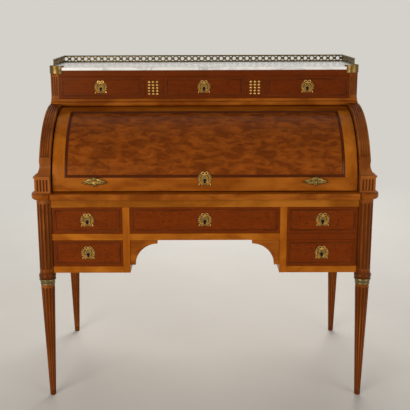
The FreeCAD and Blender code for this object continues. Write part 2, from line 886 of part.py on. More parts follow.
def pilaster_flutes():
    """Curved cutters along the pilaster."""
    pitch = (case_half_width - side_inner_x) / (pilaster_flute_count + 1)
    start = pilaster_flute_low_angle
    sweep = 90.0 - start
    radius = pilaster_radius + flute_lift_share * pilaster_flute_radius
    angle = math.radians(start)
    tangent = V(0, math.sin(angle), math.cos(angle))
    cutters = []
    for step in range(pilaster_flute_count):
        centre = polar(radius, start, side_inner_x + pitch * (step + 1))
        ring = Part.Circle(centre, tangent, pilaster_flute_radius).toShape()
        face = Part.Face(Part.Wire(ring))
        cutters.append(face.revolve(V(0, axis_y, axis_z), V(-1, 0, 0), sweep))
    return cutters


def plinth():
    """Fluted block at the foot of the right pilaster, with a cap moulding."""
    back_y = plinth_back_y()
    front_y = back_y - plinth_front - pilaster_depth
    outer_x = case_half_width + plinth_outset
    block = box(side_inner_x, outer_x, front_y, back_y, waist_top, plinth_top)
    proud = plinth_cap_proud
    cap = box(side_inner_x, outer_x + proud, front_y - proud, back_y, plinth_top, plinth_cap_top)
    low_z = waist_top + plinth_flute_margin
    high_z = plinth_top - plinth_flute_margin
    pitch = (outer_x - side_inner_x) / (pilaster_flute_count + 1)
    cutters = []
    for step in range(pilaster_flute_count):
        x = side_inner_x + pitch * (step + 1)
        y = front_y - flute_lift_share * plinth_flute_radius
        cutters.append(capsule(V(x, y, low_z), V(x, y, high_z), plinth_flute_radius, plinth_flute_radius))
    side_pitch = (back_y - front_y) / pilaster_flute_count
    for step in range(pilaster_flute_count - 1):
        x = outer_x + flute_lift_share * plinth_flute_radius
        y = front_y + side_pitch * (step + 1)
        cutters.append(capsule(V(x, y, low_z), V(x, y, high_z), plinth_flute_radius, plinth_flute_radius))
    return block.cut(cutters).fuse(cap).removeSplitter()


def hollow_curve(low, high):
    """Quarter-hollow arc step from a wide foot up to a narrow top, in any upright plane."""
    half = math.sqrt(0.5)
    across = high - low
    flat = V(across.x, across.y, 0)
    rise = V(0, 0, across.z)
    return (low + flat * half + rise * (1 - half), high)


def swelling():
    """Hollow-sided swelling between the right plinth and the pilaster."""
    back_y = plinth_back_y()
    outer_x = case_half_width + plinth_outset - swelling_inset
    front_y = back_y - plinth_front - pilaster_depth + swelling_inset
    rise = swelling_top - axis_z
    top_y = axis_y - math.sqrt(pilaster_radius ** 2 - rise ** 2)
    x = side_inner_x
    foot = V(x, front_y, plinth_cap_top)
    front_wire = outline(
        foot,
        hollow_curve(foot, V(x, top_y, swelling_top)),
        V(x, back_y, swelling_top),
        V(x, back_y, plinth_cap_top),
    )
    front = Part.Face(front_wire).extrude(V(outer_x - x, 0, 0))
    toe = V(outer_x, back_y, plinth_cap_top)
    side_wire = outline(
        toe,
        hollow_curve(toe, V(case_half_width, back_y, swelling_top)),
        V(x, back_y, swelling_top),
        V(x, back_y, plinth_cap_top),
    )
    side = Part.Face(side_wire).extrude(V(0, front_y - back_y, 0))
    return front.common(side)


def pilaster():
    """Plinth, swelling and fluted band of the right pilaster."""
    return [plinth(), swelling(), pilaster_band()]


def back_panel():
    """Board that closes the back behind the cylinder."""
    return box(-side_inner_x, side_inner_x, back_inner_y, back_face_y, waist_top, upper_floor_z)


# Upper case
def upper_floor():
    """Floor of the upper case with a half-round moulding along its front edge."""
    half = case_half_width
    z0 = upper_floor_z
    z1 = z0 + upper_moulding_height
    nose_y = moulding_y + upper_moulding_height / 2
    x = -half
    wire = outline(
        V(x, nose_y, z0),
        (V(x, moulding_y, (z0 + z1) / 2), V(x, nose_y, z1)),
        V(x, upper_front_y, z1),
        V(x, upper_front_y, upper_drawers_z),
        V(x, back_face_y, upper_drawers_z),
        V(x, back_face_y, z0),
    )
    return Part.Face(wire).extrude(V(half + half, 0, 0))


def upper_post():
    """Right fluted corner post with a round block under the marble's lobe."""
    x0 = upper_post_x
    x1 = case_half_width
    y0 = upper_front_y
    y1 = y0 + upper_post_width
    post = box(x0, x1, y0, y1, upper_drawers_z, marble_z - cap_drop)
    corner = [edge for edge in post.Edges if is_corner(edge, x1, y0)]
    post = post.makeFillet(upper_post_round, corner)
    low_z = upper_drawers_z + upper_post_flute_margin
    high_z = marble_z - cap_drop - upper_post_flute_margin
    pitch = upper_post_width / (upper_post_flute_count + 1)
    radius = upper_post_flute_radius
    cutters = []
    for step in range(upper_post_flute_count):
        place = pitch * (step + 1)
        lift = flute_lift_share * radius
        front = V(x0 + place - lift, y0 - lift, low_z)
        side = V(x1 + lift, y1 - place + lift, low_z)
        for low in (front, side):
            cutters.append(capsule(low, V(low.x, low.y, high_z), radius, radius))
    block = disc(marble_lobe_radius, cap_drop, lobe_x, lobe_y, marble_z - cap_drop)
    return post.cut(cutters).fuse(block.cut(rail_space())).removeSplitter()


def is_corner(edge, x, y):
    """True for the upright edge at a corner of a block."""
    return all(abs(end.Point.x - x) + abs(end.Point.y - y) < fit for end in edge.Vertexes)


def rail_space():
    """Room behind the right corner block for the top rail, the end board and the drawer."""
    inner = box(0, upper_post_x, upper_front_y, back_face_y, upper_drawers_z, marble_z)
    back_y = upper_front_y + upper_post_width
    return inner.fuse(box(0, side_outer_x, back_y, back_face_y, upper_drawers_z, marble_z))


def upper_top_rail():
    """Rail above the upper drawers, between the posts."""
    y1 = upper_front_y + apron_thickness
    return box(-upper_post_x, upper_post_x, upper_front_y, y1, upper_rail_z, marble_z)


def upper_boards():
    """End boards and back board of the upper case."""
    y0 = upper_front_y + upper_post_width
    x1 = upper_post_x + upper_end_thickness
    end = box(upper_post_x, x1, y0, back_face_y, upper_drawers_z, marble_z)
    y1 = back_face_y - upper_back_thickness
    back = box(-upper_post_x, upper_post_x, y1, back_face_y, upper_drawers_z, marble_z)
    return pair(end) + [back]


def divider():
    """Right divider between two upper drawers: a recessed face on two partition boards."""
    x0 = upper_centre_width / 2
    x1 = x0 + divider_width
    y0 = upper_front_y
    y1 = y0 + upper_front_thickness
    z0 = upper_drawers_z
    z1 = upper_rail_z
    face = box(x0, x1, y0, y1, z0, z1)
    margin = divider_recess_margin
    recess = box(x0 + margin, x1 - margin, y0 - overrun, y0 + divider_recess, z0 + margin, z1 - margin)
    back_y = back_face_y - upper_back_thickness
    left = box(x0, x0 + partition_thickness, y1, back_y, z0, z1)
    right = box(x1 - partition_thickness, x1, y1, back_y, z0, z1)
    return [face.cut(recess), left, right]


def gilt_drops():
    """Three beaded drops in the right divider's recess."""
    middle_x = (upper_centre_width + divider_width) / 2
    middle_z = (upper_drawers_z + upper_rail_z) / 2
    y = upper_front_y + divider_recess
    half = (drop_bead_count - 1) / 2
    drops = []
    for column in range(drop_count):
        x = middle_x + drop_pitch * (column - (drop_count - 1) / 2)
        foot = V(x, y - drop_radius / 2, middle_z - half * drop_bead_pitch)
        head = V(x, y - drop_radius / 2, middle_z + half * drop_bead_pitch)
        drop = capsule(foot, head, drop_radius / 2, drop_radius / 2)
        for bead in range(drop_bead_count):
            centre = foot + V(0, 0, drop_bead_pitch * bead)
            drop = drop.fuse(Part.makeSphere(drop_radius, centre))
        drops.append(drop.cut(divider()[0]))
    return drops


# Marble, caps and gallery
def marble_top():
    """Marble slab with round lobes at its front corners."""
    half = case_half_width
    slab = box(-lobe_x, lobe_x, marble_front_y, back_face_y, marble_z, marble_top_z)
    sides = box(-half, half, lobe_y, back_face_y, marble_z, marble_top_z)
    lobe = disc(marble_lobe_radius, marble_thickness, lobe_x, lobe_y, marble_z)
    return slab.fuse([sides] + pair(lobe)).removeSplitter()


def corner_cap():
    """Brass band round the right front lobe of the marble and the block below it."""
    z = marble_z - cap_drop
    height = cap_drop + marble_thickness + cap_rise
    inner = marble_lobe_radius + fit
    outer = Part.makeCylinder(inner + cap_thickness, height, V(0, 0, 0), V(0, 0, 1), cap_sweep)
    core = disc(inner, height + overrun + overrun, 0, 0, -overrun)
    band = rotated(outer.cut(core), -45.0 - cap_sweep / 2)
    trim = box(0, upper_post_x, upper_front_y - fit, back_face_y, z, marble_z)
    return placed(band, lobe_x, lobe_y, z).cut([trim, marble_top(), upper_post()] + upper_boards())


def oval(width, height, x, z):
    """Wide oval wire in the plane of X and Z."""
    centre = V(x, 0, z)
    ellipse = Part.Ellipse(centre + V(width / 2, 0, 0), centre + V(0, 0, height / 2), centre)
    return Part.Wire(ellipse.toShape())


def gallery_strip(length):
    """Pierced brass strip along X from the origin: rings with a pair of slots between them."""
    count = int(length / gallery_pitch)
    pitch = length / count
    y = -gallery_thickness / 2
    frame = outline(V(0, 0, 0), V(length, 0, 0), V(length, 0, gallery_height), V(0, 0, gallery_height))
    open_height = gallery_height - gallery_rim - gallery_rim
    ring = gallery_ring_share * pitch
    slot_width = gallery_slot_width_share * pitch
    slot_height = gallery_slot_height_share * open_height
    low_z = gallery_rim + slot_height / 2
    wires = [frame]
    for step in range(count):
        x = pitch * (step + 0.5)
        wires.append(Part.Wire(Part.Circle(V(x, 0, gallery_height / 2), V(0, 1, 0), ring).toShape()))
    for step in range(1, count):
        for z in (low_z, gallery_height - low_z):
            wires.append(oval(slot_width, slot_height, pitch * step, z))
    strip = Part.makeFace(wires, "Part::FaceMakerBullseye").extrude(V(0, gallery_thickness, 0))
    return placed(strip, 0, y, 0)


def gallery():
    """Back strip and two side strips standing on the marble."""
    half = case_half_width - gallery_inset
    y1 = back_face_y - gallery_inset
    back = placed(gallery_strip(half + half), -half, y1, marble_top_z)
    side_y = lobe_y + marble_lobe_radius + cap_thickness + fit + fit
    side = gallery_strip(y1 - gallery_thickness / 2 - side_y)
    side = placed(rotated(side, 90.0), half - gallery_thickness / 2, side_y, marble_top_z)
    return [back] + pair(side)


# Nest inside
def nest_depth(z):
    """Back of the nest at a height, inside the sweep of the cylinder."""
    return axis_y + math.sqrt(nest_reach ** 2 - (z - axis_z) ** 2)


def nest_boards():
    """Base on the sides, shelf over the drawers and top of the pigeonholes."""
    half = nest_half_width
    base = box(-side_inner_x, side_inner_x, nest_front_y, back_inner_y, nest_base_z, nest_drawer_z)
    low_y = nest_depth(nest_hole_z)
    high_y = nest_depth(nest_top_z + nest_board)
    shelf = box(-half, half, nest_front_y, low_y, nest_shelf_z, nest_hole_z)
    top = box(-half, half, nest_front_y, high_y, nest_top_z, nest_top_z + nest_board)
    return [base, shelf, top]


def nest_low_places():
    """Left edges of the uprights between the small drawers."""
    pitch = (nest_half_width + nest_half_width - nest_board) / nest_drawer_count
    return [-nest_half_width + pitch * step for step in range(nest_drawer_count + 1)]


def nest_uprights():
    """Uprights and back boards of the small drawers and of the pigeonholes."""
    low_y = nest_depth(nest_hole_z)
    high_y = nest_depth(nest_top_z + nest_board)
    half = nest_half_width
    pieces = []
    for x in nest_low_places():
        pieces.append(box(x, x + nest_board, nest_front_y, low_y - nest_board, nest_drawer_z, nest_shelf_z))
    pitch = (half + half - nest_board) / nest_hole_count
    for step in range(nest_hole_count + 1):
        x = -half + pitch * step
        pieces.append(box(x, x + nest_board, nest_front_y, high_y - nest_board, nest_hole_z, nest_top_z))
    pieces.append(box(-half, half, low_y - nest_board, low_y, nest_drawer_z, nest_shelf_z))
    pieces.append(box(-half, half, high_y - nest_board, high_y, nest_hole_z, nest_top_z))
    return pieces


def knob():
    """Small turned knob, drawn along -Y from a drawer front."""
    half = math.sqrt(0.5)
    lift = knob_neck_length + knob_radius
    turn = (V(knob_radius, 0, lift), V(0, 0, lift + knob_radius))
    shape = turned(
        V(0, 0, 0),
        V(knob_neck_radius, 0, 0),
        V(knob_neck_radius, 0, knob_neck_length),
        V(knob_radius * half, 0, lift - knob_radius * half),
        turn,
    )
    shape.rotate(V(0, 0, 0), V(1, 0, 0), 90)
    return shape


def nest_drawer(index):
    """Front, box and knob of one small drawer."""
    places = nest_low_places()
    x0 = places[index] + nest_board
    x1 = places[index + 1]
    z0 = nest_drawer_z
    y0 = nest_front_y
    y1 = y0 + nest_drawer_front
    gap = running_gap
    front = box(x0 + gap, x1 - gap, y0, y1, z0 + gap, nest_shelf_z - gap)
    depth = nest_depth(nest_hole_z) - nest_board - nest_drawer_back_gap - y1
    height = nest_drawer_height - drawer_headroom
    rest = drawer_box(x0, x1, y1, depth, z0, height, nest_drawer_side, nest_drawer_bottom)
    middle = placed(knob(), (x0 + x1) / 2, y0, z0 + nest_drawer_height / 2)
    return [front] + rest + [middle]


# All the nodes
def carcase_nodes():
    """Everything that stands still below the upper case."""
    shape = fluted_leg()
    nodes = {}
    for name, (x, y, turn) in leg_places().items():
        nodes[name] = [placed(rotated(shape, turn), x, y, 0)]
    nodes["leg_collars"] = [placed(collar(), x, y, 0) for x, y, turn in leg_places().values()]
    nodes["side_aprons"] = pair(side_apron())
    nodes["back_apron"] = [back_apron()]
    nodes["frieze_top_rail"] = [frieze_rail(-leg_x, leg_x, top_rail_z, top_rail_height)]
    nodes["frieze_rails"] = frieze_rails()
    stile = box(stile_inner_x, stile_outer_x, frieze_y, frieze_back_y, frieze_bottom, top_rail_z)
    nodes["frieze_stiles"] = pair(stile)
    nodes["kneehole_brackets"] = pair(bracket())
    wall = box(stile_inner_x, stile_outer_x, frieze_back_y, rear_apron_y, frieze_bottom, bed_bottom)
    nodes["pedestal_partitions"] = pair(wall)
    nodes["drawer_supports"] = drawer_supports()
    nodes["waist_mouldings"] = pair(waist_side()) + [waist_back()]
    nodes["slide_bed"] = [slide_bed()]
    nodes["curved_side_right"] = [curved_side()]
    nodes["curved_side_left"] = [mirrored(curved_side())]
    nodes["pilaster_right"] = pilaster()
    nodes["pilaster_left"] = [mirrored(piece) for piece in pilaster()]
    nodes["back_panel"] = [back_panel()]
    return nodes


def upper_nodes():
    """The upper case, its marble and its brass, and the nest inside."""
    drops = gilt_drops()
    face = divider()
    return {
        "upper_case_floor": [upper_floor()],
        "upper_posts": pair(upper_post()),
        "upper_top_rail": [upper_top_rail()],
        "upper_case_boards": upper_boards(),
        "upper_dividers": face + [mirrored(piece) for piece in face],
        "divider_drops": drops + [mirrored(drop) for drop in drops],
        "marble_top": [marble_top()],
        "gallery": gallery(),
        "gallery_corner_caps": pair(corner_cap()),
        "nest_boards": nest_boards(),
        "nest_uprights": nest_uprights(),
        "nest_drawer_left": nest_drawer(0),
        "nest_drawer_centre": nest_drawer(1),
        "nest_drawer_right": nest_drawer(2),
    }


def cylinder_nodes():
    """The fall with its arms, lock and pulls, and the writing slide."""
    return {
        "cylinder_frame": [cylinder_frame()],
        "cylinder_panel": [cylinder_panel()],
        "cylinder_arms": pair(cylinder_arm()),
        "cylinder_lock": cylinder_lock(),
        "cylinder_pulls": pair(cylinder_pull()),
        "writing_slide": [writing_slide()],
        "slide_leather": [leather_box(leather_thickness)],
    }


def main():
    """Write one file for each node."""
    os.makedirs("parts", exist_ok=True)
    nodes = carcase_nodes()
    nodes.update(upper_nodes())
    nodes.update(cylinder_nodes())
    nodes.update(frieze_drawers())
    nodes.update(upper_drawers())
    for name, pieces in nodes.items():
        shape = pieces[0] if len(pieces) == 1 else Part.makeCompound(pieces)
        shape.exportStep(os.path.join("parts", name + ".step"))
    print(len(nodes), "nodes")


main()
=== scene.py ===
import json
import logging
import math
from dataclasses import dataclass, field
from enum import Enum
from typing import Callable, Iterable, Mapping, Optional, Sequence

import bmesh
import bpy
from mathutils import Matrix, Vector

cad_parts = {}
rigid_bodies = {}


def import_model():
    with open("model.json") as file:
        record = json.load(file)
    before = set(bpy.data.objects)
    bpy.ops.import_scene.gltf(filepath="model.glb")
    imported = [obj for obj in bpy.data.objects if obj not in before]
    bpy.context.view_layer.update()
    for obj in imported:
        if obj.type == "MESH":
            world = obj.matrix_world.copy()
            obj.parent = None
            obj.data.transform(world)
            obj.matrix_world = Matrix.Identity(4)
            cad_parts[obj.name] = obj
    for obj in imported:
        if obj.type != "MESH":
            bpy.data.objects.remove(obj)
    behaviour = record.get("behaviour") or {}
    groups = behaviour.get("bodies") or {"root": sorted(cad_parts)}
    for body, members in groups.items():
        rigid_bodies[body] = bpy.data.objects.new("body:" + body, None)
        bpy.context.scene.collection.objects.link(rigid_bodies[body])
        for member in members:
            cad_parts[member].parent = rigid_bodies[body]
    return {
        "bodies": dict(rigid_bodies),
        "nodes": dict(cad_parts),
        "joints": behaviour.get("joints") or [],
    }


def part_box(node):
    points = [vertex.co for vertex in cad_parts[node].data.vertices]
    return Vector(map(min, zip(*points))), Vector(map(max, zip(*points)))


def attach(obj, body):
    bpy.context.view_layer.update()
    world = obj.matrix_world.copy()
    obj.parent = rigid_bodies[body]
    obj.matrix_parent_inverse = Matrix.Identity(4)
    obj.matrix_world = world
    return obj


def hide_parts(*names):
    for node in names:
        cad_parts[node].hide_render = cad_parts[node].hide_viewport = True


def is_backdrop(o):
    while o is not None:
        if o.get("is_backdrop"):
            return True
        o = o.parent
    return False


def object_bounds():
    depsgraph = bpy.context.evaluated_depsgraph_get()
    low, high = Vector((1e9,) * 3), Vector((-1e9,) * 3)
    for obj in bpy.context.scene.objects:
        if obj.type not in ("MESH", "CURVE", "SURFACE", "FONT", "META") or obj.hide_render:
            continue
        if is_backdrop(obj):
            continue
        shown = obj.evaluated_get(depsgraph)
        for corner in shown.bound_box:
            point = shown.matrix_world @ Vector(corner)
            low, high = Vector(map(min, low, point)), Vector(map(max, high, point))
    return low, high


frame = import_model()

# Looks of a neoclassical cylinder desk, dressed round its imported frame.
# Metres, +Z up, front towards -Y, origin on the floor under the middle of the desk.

log = logging.getLogger("cylinder_desk")

Rgb = tuple[int, int, int]
Flat = tuple[float, float]
Ring = list[Vector]
Lift = Callable[[float, float, float], Vector]
Pick = Callable[[Vector], bool]
# How fine a noise is, its finer layers and its twist.
Noise = tuple[float, float, float]
# Low and high end of a range, then what they become where that isn't 0 and 1.
Ramp = tuple[float, ...]

MM = 0.001


def clear_start_up() -> None:
    """Takes away every start-up object that isn't part of the frame."""
    kept = {thing.name for thing in [*frame["nodes"].values(), *frame["bodies"].values()]}
    for thing in [one for one in bpy.data.objects if one.name not in kept]:
        bpy.data.objects.remove(thing)


clear_start_up()
CAD_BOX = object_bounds()


# Small helpers


def linear(colour: Rgb) -> tuple[float, float, float, float]:
    """Turns a screen colour into the linear colour that shaders take.

    Args:
        colour: red, green and blue from 0 to 255.

    Returns:
        Linear red, green, blue and a full alpha.
    """
    shares = [value / 255 for value in colour]
    curve = [s / 12.92 if s <= 0.04045 else ((s + 0.055) / 1.055) ** 2.4 for s in shares]
    return (curve[0], curve[1], curve[2], 1.0)


def hang(name: str, data: bpy.types.ID) -> bpy.types.Object:
    """Makes an object and puts it in the scene.

    Args:
        name: the object's name.
        data: its mesh, curve, lamp or camera.

    Returns:
        The new object.
    """
    thing = bpy.data.objects.new(name, data)
    bpy.context.scene.collection.objects.link(thing)
    return thing


def plain_mesh(holder: bpy.types.Object) -> bpy.types.Mesh:
    """Makes a mesh of an object as its modifiers leave it, and removes them and the object.

    Args:
        holder: the object.

    Returns:
        The mesh.
    """
    view = bpy.context.evaluated_depsgraph_get()
    mesh = bpy.data.meshes.new_from_object(holder.evaluated_get(view))
    holder.modifiers.clear()
    bpy.data.objects.remove(holder)
    return mesh


def turns(count: int) -> list[float]:
    """Gives the angles that part a full turn into equal steps."""
    return [2 * math.pi * k / count for k in range(count)]


def oval(count: int, wide: float, tall: float) -> list[Flat]:
    """Gives the corners of an oval of two half widths."""
    return [(wide * math.cos(angle), tall * math.sin(angle)) for angle in turns(count)]


def even_shares(count: int) -> list[float]:
    """Gives evenly spaced shares from 0 to 1."""
    return [k / (count - 1) for k in range(count)]


def clip(value: float) -> float:
    """Keeps a value between 0 and 1."""
    return max(0.0, min(1.0, value))


# Node trees


# The Mix node's colour sockets have the same names as its others, so they go by number.
MIX_SHARE, MIX_FIRST, MIX_SECOND, MIX_RESULT = 0, 6, 7, 2


class Sheet:
    """Fills a node tree, one node at a time."""

    def __init__(self, tree: bpy.types.NodeTree) -> None:
        """Keeps the tree that is filled."""
        self.tree = tree

    def add(self, kind: str, feeds: Optional[Mapping] = None, **settings: object) -> bpy.types.Node:
        """Adds a node.

        Args:
            kind: the node's type name.
            feeds: a socket or a plain value for each input, by the input's name or number.
            settings: properties of the node.

        Returns:
            The new node.
        """
        node = self.tree.nodes.new(kind)
        for name, value in settings.items():
            setattr(node, name, value)
        for name, value in (feeds or {}).items():
            if isinstance(value, bpy.types.NodeSocket):
                self.tree.links.new(value, node.inputs[name])
            else:
                node.inputs[name].default_value = value
        return node

    def place(self) -> object:
        """Adds object coordinates and returns their socket."""
        return self.add("ShaderNodeTexCoord").outputs["Object"]

    def mask(self, name: str) -> object:
        """Adds one of a piece's own masks and returns its socket."""
        return self.add("ShaderNodeAttribute", attribute_name=name).outputs["Fac"]

    def noise(self, vector: object, scale: float, detail: float, twist: float = 0.0) -> object:
        """Adds a noise texture.

        Args:
            vector: where the noise is read.
            scale: how fine it is.
            detail: how many finer layers it has.
            twist: how far it is distorted.

        Returns:
            The noise value's socket.
        """
        feeds = {"Vector": vector, "Scale": scale, "Detail": detail, "Distortion": twist}
        return self.add("ShaderNodeTexNoise", feeds).outputs["Fac"]

    def stretch(self, vector: object, scale: Sequence[float]) -> object:
        """Scales a vector and returns the result's socket."""
        return self.add("ShaderNodeMapping", {"Vector": vector, "Scale": scale}).outputs["Vector"]

    def calc(self, operation: str, *values: object, clamp: bool = True) -> object:
        """Adds a sum of values, kept between 0 and 1 unless clamp is off, and returns its socket."""
        feeds = dict(enumerate(values))
        return self.add("ShaderNodeMath", feeds, operation=operation, use_clamp=clamp).outputs[0]

    def between(self, value: object, low: float, high: float, bottom: float = 0.0,
                top: float = 1.0) -> object:
        """Maps a value from one range onto another.

        Args:
            value: what is mapped.
            low: value that becomes bottom.
            high: value that becomes top.
            bottom: result at and beyond low.
            top: result at and beyond high.

        Returns:
            The result's socket.
        """
        feeds = {"Value": value, "From Min": low, "From Max": high, "To Min": bottom, "To Max": top}
        return self.add("ShaderNodeMapRange", feeds, clamp=True).outputs["Result"]

    def blend(self, share: object, first: object, second: object) -> object:
        """Mixes two colours by a share and returns the result's socket."""
        feeds = {MIX_SHARE: share, MIX_FIRST: first, MIX_SECOND: second}
        return self.add("ShaderNodeMix", feeds, data_type="RGBA").outputs[MIX_RESULT]

    def emboss(self, height: object, strength: float, depth: float) -> object:
        """Raises a surface by a height, to a depth in metres, and returns the normal's socket."""
        feeds = {"Height": height, "Strength": strength, "Distance": depth}
        return self.add("ShaderNodeBump", feeds).outputs["Normal"]


class Socket(Enum):
    """Kinds of socket that a shader group has."""

    VALUE = "NodeSocketFloat"
    COLOUR = "NodeSocketColor"
    VECTOR = "NodeSocketVector"


@dataclass(frozen=True)
class SharedGroup:
    """A shader node group that is built once and placed in several materials."""

    name: str
    fill: Callable[[Sheet, Mapping[str, object]], dict[str, object]]
    inputs: dict[Socket, tuple[str, ...]]
    outputs: dict[Socket, tuple[str, ...]]

    def tree(self) -> bpy.types.NodeTree:
        """Finds the group's tree, or builds it the first time.

        Returns:
            The tree.
        """
        found = bpy.data.node_groups.get(self.name)
        if found:
            return found
        tree = bpy.data.node_groups.new(self.name, "ShaderNodeTree")
        for way, sockets in (("INPUT", self.inputs), ("OUTPUT", self.outputs)):
            for kind, names in sockets.items():
                for name in names:
                    tree.interface.new_socket(name, in_out=way, socket_type=kind.value)
        sheet = Sheet(tree)
        sheet.add("NodeGroupOutput", self.fill(sheet, sheet.add("NodeGroupInput").outputs))
        return tree

    def place(self, sheet: Sheet, **values: object) -> Mapping[str, object]:
        """Places the group in a material with a value for each input, and returns its outputs."""
        return sheet.add("ShaderNodeGroup", values, node_tree=self.tree()).outputs


# Layers of noise in wood: pace along the grain, pace across it, finer layers and twist.
WOOD_LAYERS = {
    "streak": (2.4, 70, 4.0, 0.5),
    "hair": (11, 420, 3.0, 0.0),
    "pore": (70, 1700, 1.0, 0.0),
    "cloud": (5, 12, 6.0, 0.7),
    "ripple": (60, 10, 4.0, 0.9),
    "mottle": (34, 72, 3.0, 0.5),
    "spot": (26, 54, 2.0, 0.6),
}
WOOD_RAMPS: dict[str, Ramp] = {
    "tone": (0.30, 0.70),
    "spot": (0.58, 0.70),
    "pore": (0.60, 0.68),
    "rubbed": (0.40, 0.62, 0.15, 0.75),
    "cloud_dullness": (0.35, 0.65, 0.0, 0.10),
    "hair_dullness": (0.3, 0.7, 0.0, 0.06),
    "ridge": (0.2, 0.8, 0.5, 0.8),
}
RIPPLE_SHARE, MOTTLE_SHARE, HAIR_SHARE = 0.5, 0.4, 0.36
# HOLLOW_SHADE is how far the hollow mask darkens the wood: painted shade in the flutes.
PORE_SHADE, PORE_DEPTH, HOLLOW_SHADE = 0.35, 0.5, 0.30


def fill_wood(sheet: Sheet, given: Mapping[str, object]) -> dict[str, object]:
    """Draws wood with long streaks, a cloudy figure, ripples across the grain, pores and dark spots.

    Args:
        sheet: the group's tree.
        given: the group's inputs.

    Returns:
        What the group's outputs get.
    """
    layer = {
        name: sheet.noise(sheet.stretch(given["Grain"], (along, across, across)), 1.0, detail, twist)
        for name, (along, across, detail, twist) in WOOD_LAYERS.items()
    }
    cloud, hair = layer["cloud"], layer["hair"]
    figure = sheet.blend(MOTTLE_SHARE, sheet.blend(RIPPLE_SHARE, cloud, layer["ripple"]), layer["mottle"])
    tone = sheet.blend(given["Figure"], layer["streak"], figure)
    tone = sheet.between(sheet.blend(HAIR_SHARE, tone, hair), *WOOD_RAMPS["tone"])
    colour = sheet.blend(tone, given["Dark"], given["Light"])
    dark_spot = sheet.calc("MULTIPLY", sheet.between(layer["spot"], *WOOD_RAMPS["spot"]), given["Spots"])
    colour = sheet.blend(dark_spot, colour, given["Deep"])
    open_pore = sheet.between(layer["pore"], *WOOD_RAMPS["pore"])
    colour = sheet.blend(sheet.calc("MULTIPLY", open_pore, PORE_SHADE), colour, given["Deep"])
    rubbed = sheet.calc("MULTIPLY", given["Edge"], sheet.between(cloud, *WOOD_RAMPS["rubbed"]))
    colour = sheet.blend(rubbed, colour, given["Rubbed"])
    # Painted shade: the hollow mask darkens the flutes towards Deep, and also the height bands that a
    # finish lists.
    colour = sheet.blend(sheet.calc("MULTIPLY", given["Hollow"], HOLLOW_SHADE), colour, given["Deep"])
    dull = sheet.between(cloud, *WOOD_RAMPS["cloud_dullness"])
    dull = sheet.calc("ADD", dull, sheet.between(hair, *WOOD_RAMPS["hair_dullness"]))
    ridge = sheet.between(hair, *WOOD_RAMPS["ridge"])
    return {
        "Color": colour,
        "Roughness": sheet.calc("ADD", given["Gloss"], dull),
        "Height": sheet.calc("SUBTRACT", ridge, sheet.calc("MULTIPLY", open_pore, PORE_DEPTH)),
    }


METAL_CLOUD: Noise = (90.0, 4.0, 0.6)
METAL_GRAIN: Noise = (900.0, 2.0, 0.0)
METAL_SHADE: Ramp = (0.38, 0.68)
METAL_DULLNESS: Ramp = (0.0, 1.0, 0.26, 0.62)
METAL_HOLLOW_SHADE, DULL_GRAIN_SHARE, PIT_GRAIN_SHARE = 0.9, 0.3, 0.4


def fill_patina(sheet: Sheet, given: Mapping[str, object]) -> dict[str, object]:
    """Draws old metal with bright rubbed crests, hollows darkened by part patina and part painted shade,
    and fine pitting.

    Args:
        sheet: the group's tree.
        given: the group's inputs.

    Returns:
        What the group's outputs get.
    """
    cloud = sheet.noise(given["Place"], *METAL_CLOUD)
    grain = sheet.noise(given["Place"], *METAL_GRAIN)
    shade = sheet.calc("MULTIPLY", sheet.between(cloud, *METAL_SHADE), given["Age"])
    # The hollow mask darkens the metal: part patina, part painted shade.
    shade = sheet.calc("MAXIMUM", shade, sheet.calc("MULTIPLY", given["Hollow"], METAL_HOLLOW_SHADE))
    return {
        "Color": sheet.blend(shade, given["Bright"], given["Dark"]),
        "Roughness": sheet.between(sheet.blend(DULL_GRAIN_SHARE, shade, grain), *METAL_DULLNESS),
        "Height": sheet.blend(PIT_GRAIN_SHARE, cloud, grain),
    }


GRIME_CLOUD: Noise = (14.0, 5.0, 0.4)
GRIME_PATCHES: Ramp = (0.42, 0.70)


def fill_grime(sheet: Sheet, given: Mapping[str, object]) -> dict[str, object]:
    """Darkens a colour with soft grime in cloudy patches.

    Args:
        sheet: the group's tree.
        given: the group's inputs.

    Returns:
        What the group's output gets.
    """
    cloud = sheet.noise(given["Place"], *GRIME_CLOUD)
    share = sheet.calc("MULTIPLY", sheet.between(cloud, *GRIME_PATCHES), given["Amount"])
    return {"Color": sheet.blend(share, given["Color"], given["Grime"])}


SURFACE_OUTPUTS = {Socket.COLOUR: ("Color",), Socket.VALUE: ("Roughness", "Height")}
WOOD = SharedGroup("wood_figure", fill_wood, {
    Socket.VECTOR: ("Grain",),
    Socket.COLOUR: ("Light", "Dark", "Deep", "Rubbed"),
    Socket.VALUE: ("Figure", "Spots", "Gloss", "Edge", "Hollow"),
}, SURFACE_OUTPUTS)
PATINA = SharedGroup("metal_patina", fill_patina, {
    Socket.VECTOR: ("Place",),
    Socket.COLOUR: ("Bright", "Dark"),
    Socket.VALUE: ("Age", "Hollow"),
}, SURFACE_OUTPUTS)
GRIME = SharedGroup("soft_grime", fill_grime, {
    Socket.VECTOR: ("Place",),
    Socket.COLOUR: ("Color", "Grime"),
    Socket.VALUE: ("Amount",),
}, {Socket.COLOUR: ("Color",)})


# Finishes


class Grain(Enum):
    """Which way a board's grain runs, as the turn that brings it onto X."""

    ACROSS = (0.0, 0.0, 0.0)
    BACKWARDS = (0.0, 0.0, -math.pi / 2)
    UPRIGHT = (0.0, math.pi / 2, 0.0)


